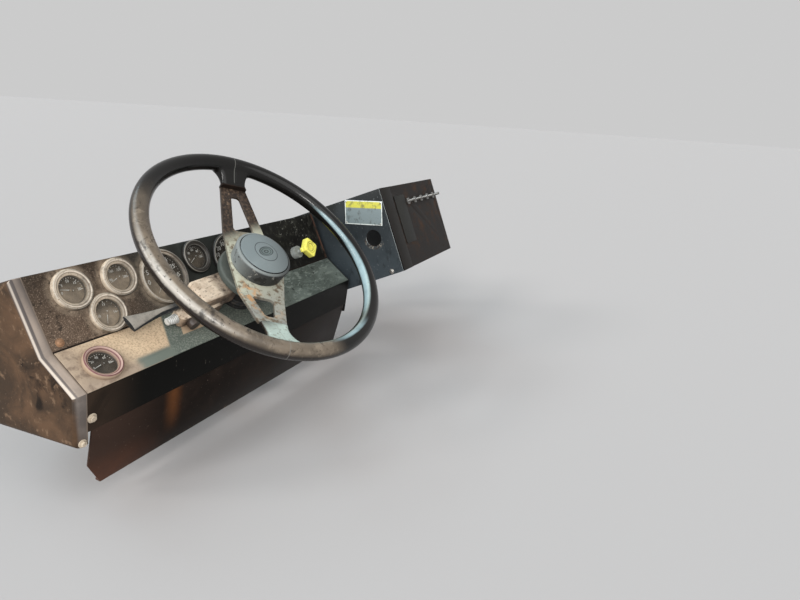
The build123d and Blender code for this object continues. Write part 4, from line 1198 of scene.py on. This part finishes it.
class DRESS_OT_wheel(bpy.types.Operator):
    """Moulds the rim, eases the spokes and covers the horn pad"""

    bl_idname = "dress.wheel"
    bl_label = "Steering Wheel"

    # size of the strap and radius of its corners in mm
    STRAP = (52.4, 16.4, 4.0)
    STRAP_CORNER = 6.4

    def execute(self, context):
        sizes = context.scene.dress_wheel
        rim = melted_copy("wheel_rim", "moulded_rim", sizes.voxel, 10)
        vinyl = rim_vinyl(sizes.rim_colour, sizes.worn_colour)
        stand_for(rim, vinyl, WHEEL_BODY, "rim_black", "wheel_rim")
        steel = spoke_steel()
        paint(frame["nodes"]["wheel_hub"], steel)
        drum = horn_vinyl(
            "drum_vinyl", (0.20, 0.22, 0.215), (0.255, 0.275, 0.265), (0.034, 0.036, 0.037)
        )
        top = horn_vinyl(
            "cap_grey", (0.165, 0.195, 0.20), (0.205, 0.24, 0.24), (0.130, 0.150, 0.153)
        )
        dress((
            ("spoke_frame", "pressed_spokes", 0.9 * MM, steel, "spoke_steel"),
            ("horn_base", "horn_drum", 0.6 * MM, drum, "horn_grey"),
            ("horn_cap", "horn_top", 0.6 * MM, top, "horn_grey"),
        ), WHEEL_BODY)
        self.strap(rusted_steel("strap_rust", (0.022, 0.015, 0.012), (0.06, 0.032, 0.021), 0.45))
        return {"FINISHED"}

    def strap(self, material):
        """A thin steel band round the neck of the upper web, where the fork takes it."""
        angle, reach = NECKS[0]
        out = WHEEL_RIGHT * math.cos(angle) + WHEEL_UP * math.sin(angle)
        centre = WHEEL.translation + out * (reach + 1.5 * MM) - WHEEL_OUT * NECK_DROP
        strap = bar("neck_strap", self.STRAP, (0, 0, 0), self.STRAP_CORNER, 6)
        pick(strap, "FACE", lambda face: abs(face.normal.z) > 0.9)
        bpy.ops.mesh.inset(thickness=0.6 * MM)
        shut()
        smooth()
        place = frame_at(centre, out, out.cross(WHEEL_OUT))
        settle(paint(strap, material), place, WHEEL_BODY)


class DRESS_OT_gauges(bpy.types.Operator):
    """Gives each gauge its ring, dial, marks and needle"""

    bl_idname = "dress.gauges"
    bl_label = "Gauges"

    # gauge, dust on its ring, dust on its dial, needle's angle, numbers at its long ticks
    FACES = (
        ("gauge_1", 1.0, 0.75, 75.0, "0 5 10 15 20"),
        ("gauge_2", 1.0, 1.00, 110.0, "100 160 220 280"),
        ("gauge_3", 1.0, 1.00, 160.0, "10 13 16"),
        ("gauge_4", 0.60, 0.80, 140.0, "0 5 10 15 20 25 30"),
        ("gauge_5", 0.10, 1.00, 120.0, "0 30 60 90 120"),
        ("gauge_6", 0.06, 0.50, 130.0, "0 10 20 30 40 50 60 70"),
        ("ledge_gauge", 0.5, 0.10, 100.0, "0 20 40 60 80"),
    )
    SCALE_RADIUS = 0.93
    STEPS_PER_NUMBER = 4

    def execute(self, context):
        sizes = context.scene.dress_gauges
        white = plain_paint("dial_white", (0.60, 0.60, 0.56), 0.6, 0.0, (0.35, 0.3, 0.24))
        for name, ring_dust, dial_dust, angle, numbers in self.FACES:
            on_ledge = name == "ledge_gauge"
            out = LEDGE_OUT if on_ledge else GAUGE_OUT
            centre, radius, window = ring_seat(name + "_bezel", out)
            ring = rounded_copy(name + "_bezel", name + "_ring", 0.4 * MM)
            if on_ledge:
                material = badge_rings(centre, radius, out)
                slot = "badge_maroon"
            else:
                material = bezel_dust(name + "_dust", centre, radius, out, ring_dust)
                slot = "bezel_cream"
            stand_for(ring, material, PANEL_BODY, slot, name + "_bezel")
            place = frame_at(centre, out)
            face = window - 0.3 * MM
            wide = face / MM
            disc = lathe("disc", ((wide, -2.4), (wide, -2.1), (wide - 0.3, -2.0)))
            boss = lathe("boss", ((2.6, -2.0), (2.6, -0.6), (1.9, 0.0)), 24)
            black = dial_black(name + "_black", centre, ACROSS.cross(out), face, dial_dust)
            settle(paint(join(name + "_dial", disc, boss), black), place)
            marks = self.scale(face, numbers.split(), sizes) + [self.needle(face, angle)]
            settle(paint(join(name + "_marks", *marks), white), place)
        return {"FINISHED"}

    def scale(self, face, numbers, sizes):
        """Long and short ticks round the upper arc, with a number inside each long one."""
        tick = box("tick", (sizes.tick_width / MM, sizes.tick_length / MM, 0.2))
        marks = []
        steps = (len(numbers) - 1) * self.STEPS_PER_NUMBER
        outer = face * self.SCALE_RADIUS
        height = face * sizes.number_share
        for i in range(steps + 1):
            turn = Matrix.Rotation(sizes.sweep * (0.5 - i / steps), 4, "Z")
            long = i % self.STEPS_PER_NUMBER == 0
            length = 1.0 if long else 0.5
            mark = copy_piece(tick, "mark")
            reach = outer - sizes.tick_length * length / 2
            slim = Matrix.Diagonal((0.6 + 0.4 * length, length, 1, 1))
            mark.matrix_world = turn @ Matrix.Translation((0, reach, -1.9 * MM)) @ slim
            bpy.ops.object.transform_apply()
            marks.append(mark)
            if long:
                inner = outer - sizes.tick_length * 1.25 - height * 0.5
                spot = turn @ Vector((0, inner, -1.95 * MM))
                marks.append(self.number(numbers[i // self.STEPS_PER_NUMBER], height, spot))
        bpy.data.objects.remove(tick)
        return marks

    def number(self, text, height, spot):
        """A number of the scale, drawn flat on the dial."""
        select()
        bpy.ops.object.text_add(location=spot)
        piece = active("number")
        piece.data.body = text
        piece.data.size = height * 1.35
        piece.data.align_x = "CENTER"
        piece.data.align_y = "CENTER"
        piece.data.resolution_u = 3
        piece.data.extrude = 0.05 * MM
        bpy.ops.object.convert(target="MESH")
        bpy.ops.object.transform_apply()
        return bpy.context.object

    def needle(self, face, angle):
        """A tapered needle with a short tail, through its boss."""
        wide = face / MM
        pointer = box("pointer", (1.3, wide * 0.95, 0.3), (0, wide * 0.28, -0.9))
        edit()
        pick(pointer, "FACE", lambda side: side.normal.y > 0.9)
        bpy.ops.transform.resize(value=(0.3, 1, 1), center_override=(0, 0, 0))
        shut()
        return turned(pointer, math.radians(angle))


class DRESS_OT_controls(bpy.types.Operator):
    """Finishes the signal switch, its lever, and the valve's knob"""

    bl_idname = "dress.controls"
    bl_label = "Controls"

    # radius and height in mm round the section of the knob's raised ring
    KNOB_RING = ((11.2, -1.2), (11.2, 0.8), (10.6, 1.3), (9.4, 1.3), (8.8, 0.8), (8.8, -1.2))

    def execute(self, context):
        collar = dusty_paint("collar_grey", (0.062, 0.075, 0.068), (0.15, 0.15, 0.13), 0.4)
        pull = plain_paint("pull_brown", (0.045, 0.032, 0.025), 0.45)
        crest = crest_of("valve_knob", GAUGE_OUT)
        yellow = knob_yellow(crest)
        dress((
            ("switch_collar", "switch_ring", 1.0 * MM, collar, "column_paint"),
            ("signal_lever", "switch_lever", 1.0 * MM, lever_paint(), "lever_black"),
            ("signal_lens", "switch_lens", 0.5 * MM, lens_clear(), "lens_clear"),
            ("hazard_knob", "hazard_pull", 0.8 * MM, pull, "lever_black"),
            ("valve_knob", "brake_knob", 1.2 * MM, yellow, "knob_yellow"),
        ))
        housing = melted_copy("signal_housing", "switch_housing", 1.1 * MM, 14)
        stand_for(housing, switch_dust(), PANEL_BODY, "switch_tan", "signal_housing")
        self.knob_face(yellow, frame_at(crest, GAUGE_OUT))
        return {"FINISHED"}

    def knob_face(self, material, place):
        """The raised ring on the brake knob, and the tab that sticks out to its left."""
        ring = lathe("ring", self.KNOB_RING, 48, False)
        pips = [box("pip", (2.6, 7.5, 1.2), (0, 0, 0.2), 0.4)]
        for turn in (90, 180, 270, 360):
            pip = box("pip", (5.5, 3.4, 1.4), (14.6, 0, 0), 0.5)
            pips.append(turned(pip, math.radians(turn)))
        face = join("brake_knob_marks", ring, *pips)
        settle(paint(face, material), place)
        arm = box("brake_knob_tab", (14.0, 9.5, 7.0), (-22.5, 0, -6.0), 2.0)
        settle(paint(arm, material), place)


class DRESS_OT_centre(bpy.types.Operator):
    """Finishes the centre section, its placard and its switches"""

    bl_idname = "dress.centre"
    bl_label = "Centre Section"

    # middle of the side's round hole, as its scratches and its torn rubber ring are set
    HOLE = Vector((0.36, -0.2909, 0.066))
    RING_PLACE = Vector((0.36, -0.29, 0.065))
    # radius and height in mm round the section of the torn ring
    TORN_RING = (
        (19.0, -3.2), (19.0, -0.4), (19.9, 0.1), (19.4, 0.7),
        (18.3, 0.5), (17.6, -1.0), (17.8, -3.2),
    )
    PLACARD_CENTRE = Vector((0.3597, -0.261, 0.1194))
    PLACARD_ALONG = Vector((0, -0.9966, 0.083))
    PLACARD_UP = Vector((0, 0.083, 0.9966))
    PLACARD_LONG, PLACARD_HIGH = 94.5, 54.0
    RIVET = ((1.9, 0.0), (1.9, 0.5), (1.4, 1.0), (0.6, 1.25))
    RIVET_X, RIVET_Y = 43.5 * MM, 23.5 * MM

    def execute(self, context):
        ease = context.scene.dress_sheets.edge
        grey = dusty_paint("centre_grey", (0.040, 0.046, 0.05), (0.14, 0.13, 0.12), 0.4)
        trim = dusty_paint("trim_grey", (0.005, 0.0045, 0.004), (0.024, 0.020, 0.016), 0.36)
        plate = dusty_paint("plate_black", (0.007, 0.0075, 0.007), (0.035, 0.034, 0.03), 0.45)
        face = rusted_steel(
            "centre_rust", (0.008, 0.006, 0.005), (0.062, 0.032, 0.018), 0.42, 0.5, 0.0
        )
        toggles = plain_paint("toggle_steel", (0.20, 0.195, 0.185), 0.35, 0.7)
        dress((
            ("centre_side", "eased_side", ease, wing_paint(self.HOLE), "centre_grey"),
            ("centre_face", "eased_face", ease, face, "centre_rust"),
            ("centre_trim", "eased_trim", 0.4 * MM, trim, "centre_grey"),
            ("centre_plate", "eased_plate", 0.4 * MM, plate, "plate_black"),
            ("centre_toggles", "turned_toggles", 0.5 * MM, toggles, "shaft_steel"),
        ))
        paint(frame["nodes"]["centre_top"], bpy.data.materials["cover_black"])
        for name in ("centre_floor", "centre_end"):
            paint(frame["nodes"][name], grey)
        self.placard()
        self.torn_ring()
        return {"FINISHED"}

    def placard(self):
        """A thin printed plate on the section's side, held by four rivets."""
        along, up = self.PLACARD_ALONG, self.PLACARD_UP
        place = frame_at(self.PLACARD_CENTRE, -ACROSS, along)
        plate = box("placard", (self.PLACARD_LONG, self.PLACARD_HIGH, 0.7), bevel=0.25)
        half = along * self.PLACARD_LONG + up * self.PLACARD_HIGH
        corner = self.PLACARD_CENTRE - half * MM / 2
        settle(paint(plate, placard_print(corner, along, up)), place)
        rivet = lathe("rivet", self.RIVET, 20)
        rivets = []
        for x in (-self.RIVET_X, self.RIVET_X):
            for y in (-self.RIVET_Y, self.RIVET_Y):
                mark = copy_piece(rivet, "placard_rivet")
                mark.location = (x, y, 0.3 * MM)
                bpy.ops.object.transform_apply()
                rivets.append(mark)
        bpy.data.objects.remove(rivet)
        steel = bpy.data.materials["ground_steel"]
        settle(paint(join("placard_rivets", *rivets), steel), place)

    def torn_ring(self):
        """What is left of the rubber ring in the side's round hole."""
        ring = lathe("torn_ring", self.TORN_RING, 56, False)
        edit()
        bpy.ops.transform.vertex_random(offset=0.7 * MM, seed=4)
        shut()
        rubber = rusted_steel(
            "ring_rubber", (0.018, 0.016, 0.015), (0.09, 0.06, 0.045), 0.4, 0.8, 0.0
        )
        place = frame_at(self.RING_PLACE, -ACROSS, Vector((0, -1, 0)))
        settle(paint(ring, rubber), place)


class DRESS_OT_fasteners(bpy.types.Operator):
    """Adds the screws and bolts that show"""

    bl_idname = "dress.fasteners"
    bl_label = "Fasteners"

    def execute(self, context):
        rusty = rusted_steel("screw_rust", (0.20, 0.12, 0.075), (0.44, 0.25, 0.14), 0.62, 0.6, 0.3)
        cream = rusted_steel("bolt_cream", (0.52, 0.44, 0.34), (0.22, 0.15, 0.10), 0.4, 0.6, 0.2)
        steel = bpy.data.materials["ground_steel"]
        crease = ACROSS * -0.3271 + CREASE_POINT - GAUGE_DOWN * 11.1 * MM
        band = ACROSS * -0.3348 + LIP_POINT + BAND_DOWN * 40.2 * MM
        cap = ACROSS * -0.3500 + LIP_POINT + BAND_DOWN * 72.8 * MM
        side = Vector((0.36, -0.3405, -0.0035))
        # name, kind, place, normal, radius in mm, material
        spots = (
            ("panel_screw", self.screw, crease, GAUGE_OUT, 4.6, rusty),
            ("band_bolt", self.bolt, band, BAND_OUT, 4.8, cream),
            ("cap_bolt", self.bolt, cap, BAND_OUT, 4.2, cream),
            ("side_screw", self.screw, side, -ACROSS, 4.2, steel),
        )
        for name, kind, spot, normal, radius, material in spots:
            piece = kind(name, radius)
            across = ACROSS if abs(normal.x) < 0.9 else Vector((0, -1, 0))
            settle(paint(piece, material), frame_at(spot, normal, across))
        return {"FINISHED"}

    def washer(self, outer, inner, rise):
        """A flat washer with an eased edge."""
        return lathe("washer", ((outer, -0.2), (outer, rise - 0.2), (inner, rise)), 40)

    def screw(self, name, radius):
        """A domed head with a slot, on a washer."""
        washer = self.washer(radius * 1.35, radius * 1.25, 1.0)
        rings = [(radius, 0.9)]
        for lean in (0.0, 0.35, 0.7, 1.05, 1.35):
            rings.append((radius * math.cos(lean), 1.2 + radius * 0.5 * math.sin(lean)))
        head = lathe("head", rings, 40)
        slot = box("slot", (radius * 2.4, 1.2, 2.0), (0, 0, 1.6 + radius * 0.5))
        slot.matrix_world = Matrix.Rotation(0.6, 4, "Z")
        cut = head.modifiers.new("Slot", "BOOLEAN")
        cut.object = slot
        cut.operation = "DIFFERENCE"
        apply_all(head)
        bpy.data.objects.remove(slot)
        return join(name, washer, head)

    def bolt(self, name, radius):
        """A hexagon head on a washer."""
        washer = self.washer(radius * 1.45, radius * 1.38, 1.1)
        head = lathe("head", ((radius, 1.0), (radius, 4.2), (radius * 0.86, 4.9)), 6)
        bpy.ops.object.shade_flat()
        return join(name, washer, head)


class DRESS_PT_panel(bpy.types.Panel):
    """Lists the steps in the sidebar"""

    bl_label = "Panel Dressing"
    bl_space_type = "VIEW_3D"
    bl_region_type = "UI"
    bl_category = "Dressing"

    def draw(self, context):
        for step in STEPS:
            self.layout.operator(step.bl_idname)
        for group_name in GROUPS:
            group = getattr(context.scene, group_name)
            rows = self.layout.box()
            for name in group.__annotations__:
                rows.prop(group, name)


STEPS = (
    DRESS_OT_stage,
    DRESS_OT_sheets,
    DRESS_OT_frame,
    DRESS_OT_wheel,
    DRESS_OT_gauges,
    DRESS_OT_controls,
    DRESS_OT_centre,
    DRESS_OT_fasteners,
)
GROUPS = {
    "dress_stage": StageSizes,
    "dress_sheets": SheetSizes,
    "dress_wheel": WheelSizes,
    "dress_gauges": GaugeSizes,
}


def register():
    for kind in (*GROUPS.values(), *STEPS, DRESS_PT_panel):
        bpy.utils.register_class(kind)
    for name, kind in GROUPS.items():
        setattr(bpy.types.Scene, name, PointerProperty(type=kind))


def unregister():
    for name in GROUPS:
        delattr(bpy.types.Scene, name)
    for kind in (DRESS_PT_panel, *STEPS, *GROUPS.values()):
        bpy.utils.unregister_class(kind)


def main():
    register()
    bpy.ops.dress.stage()
    bpy.ops.dress.sheets()
    bpy.ops.dress.frame()
    bpy.ops.dress.wheel()
    bpy.ops.dress.gauges()
    bpy.ops.dress.controls()
    bpy.ops.dress.centre()
    bpy.ops.dress.fasteners()


if __name__ == "__main__":
    main()
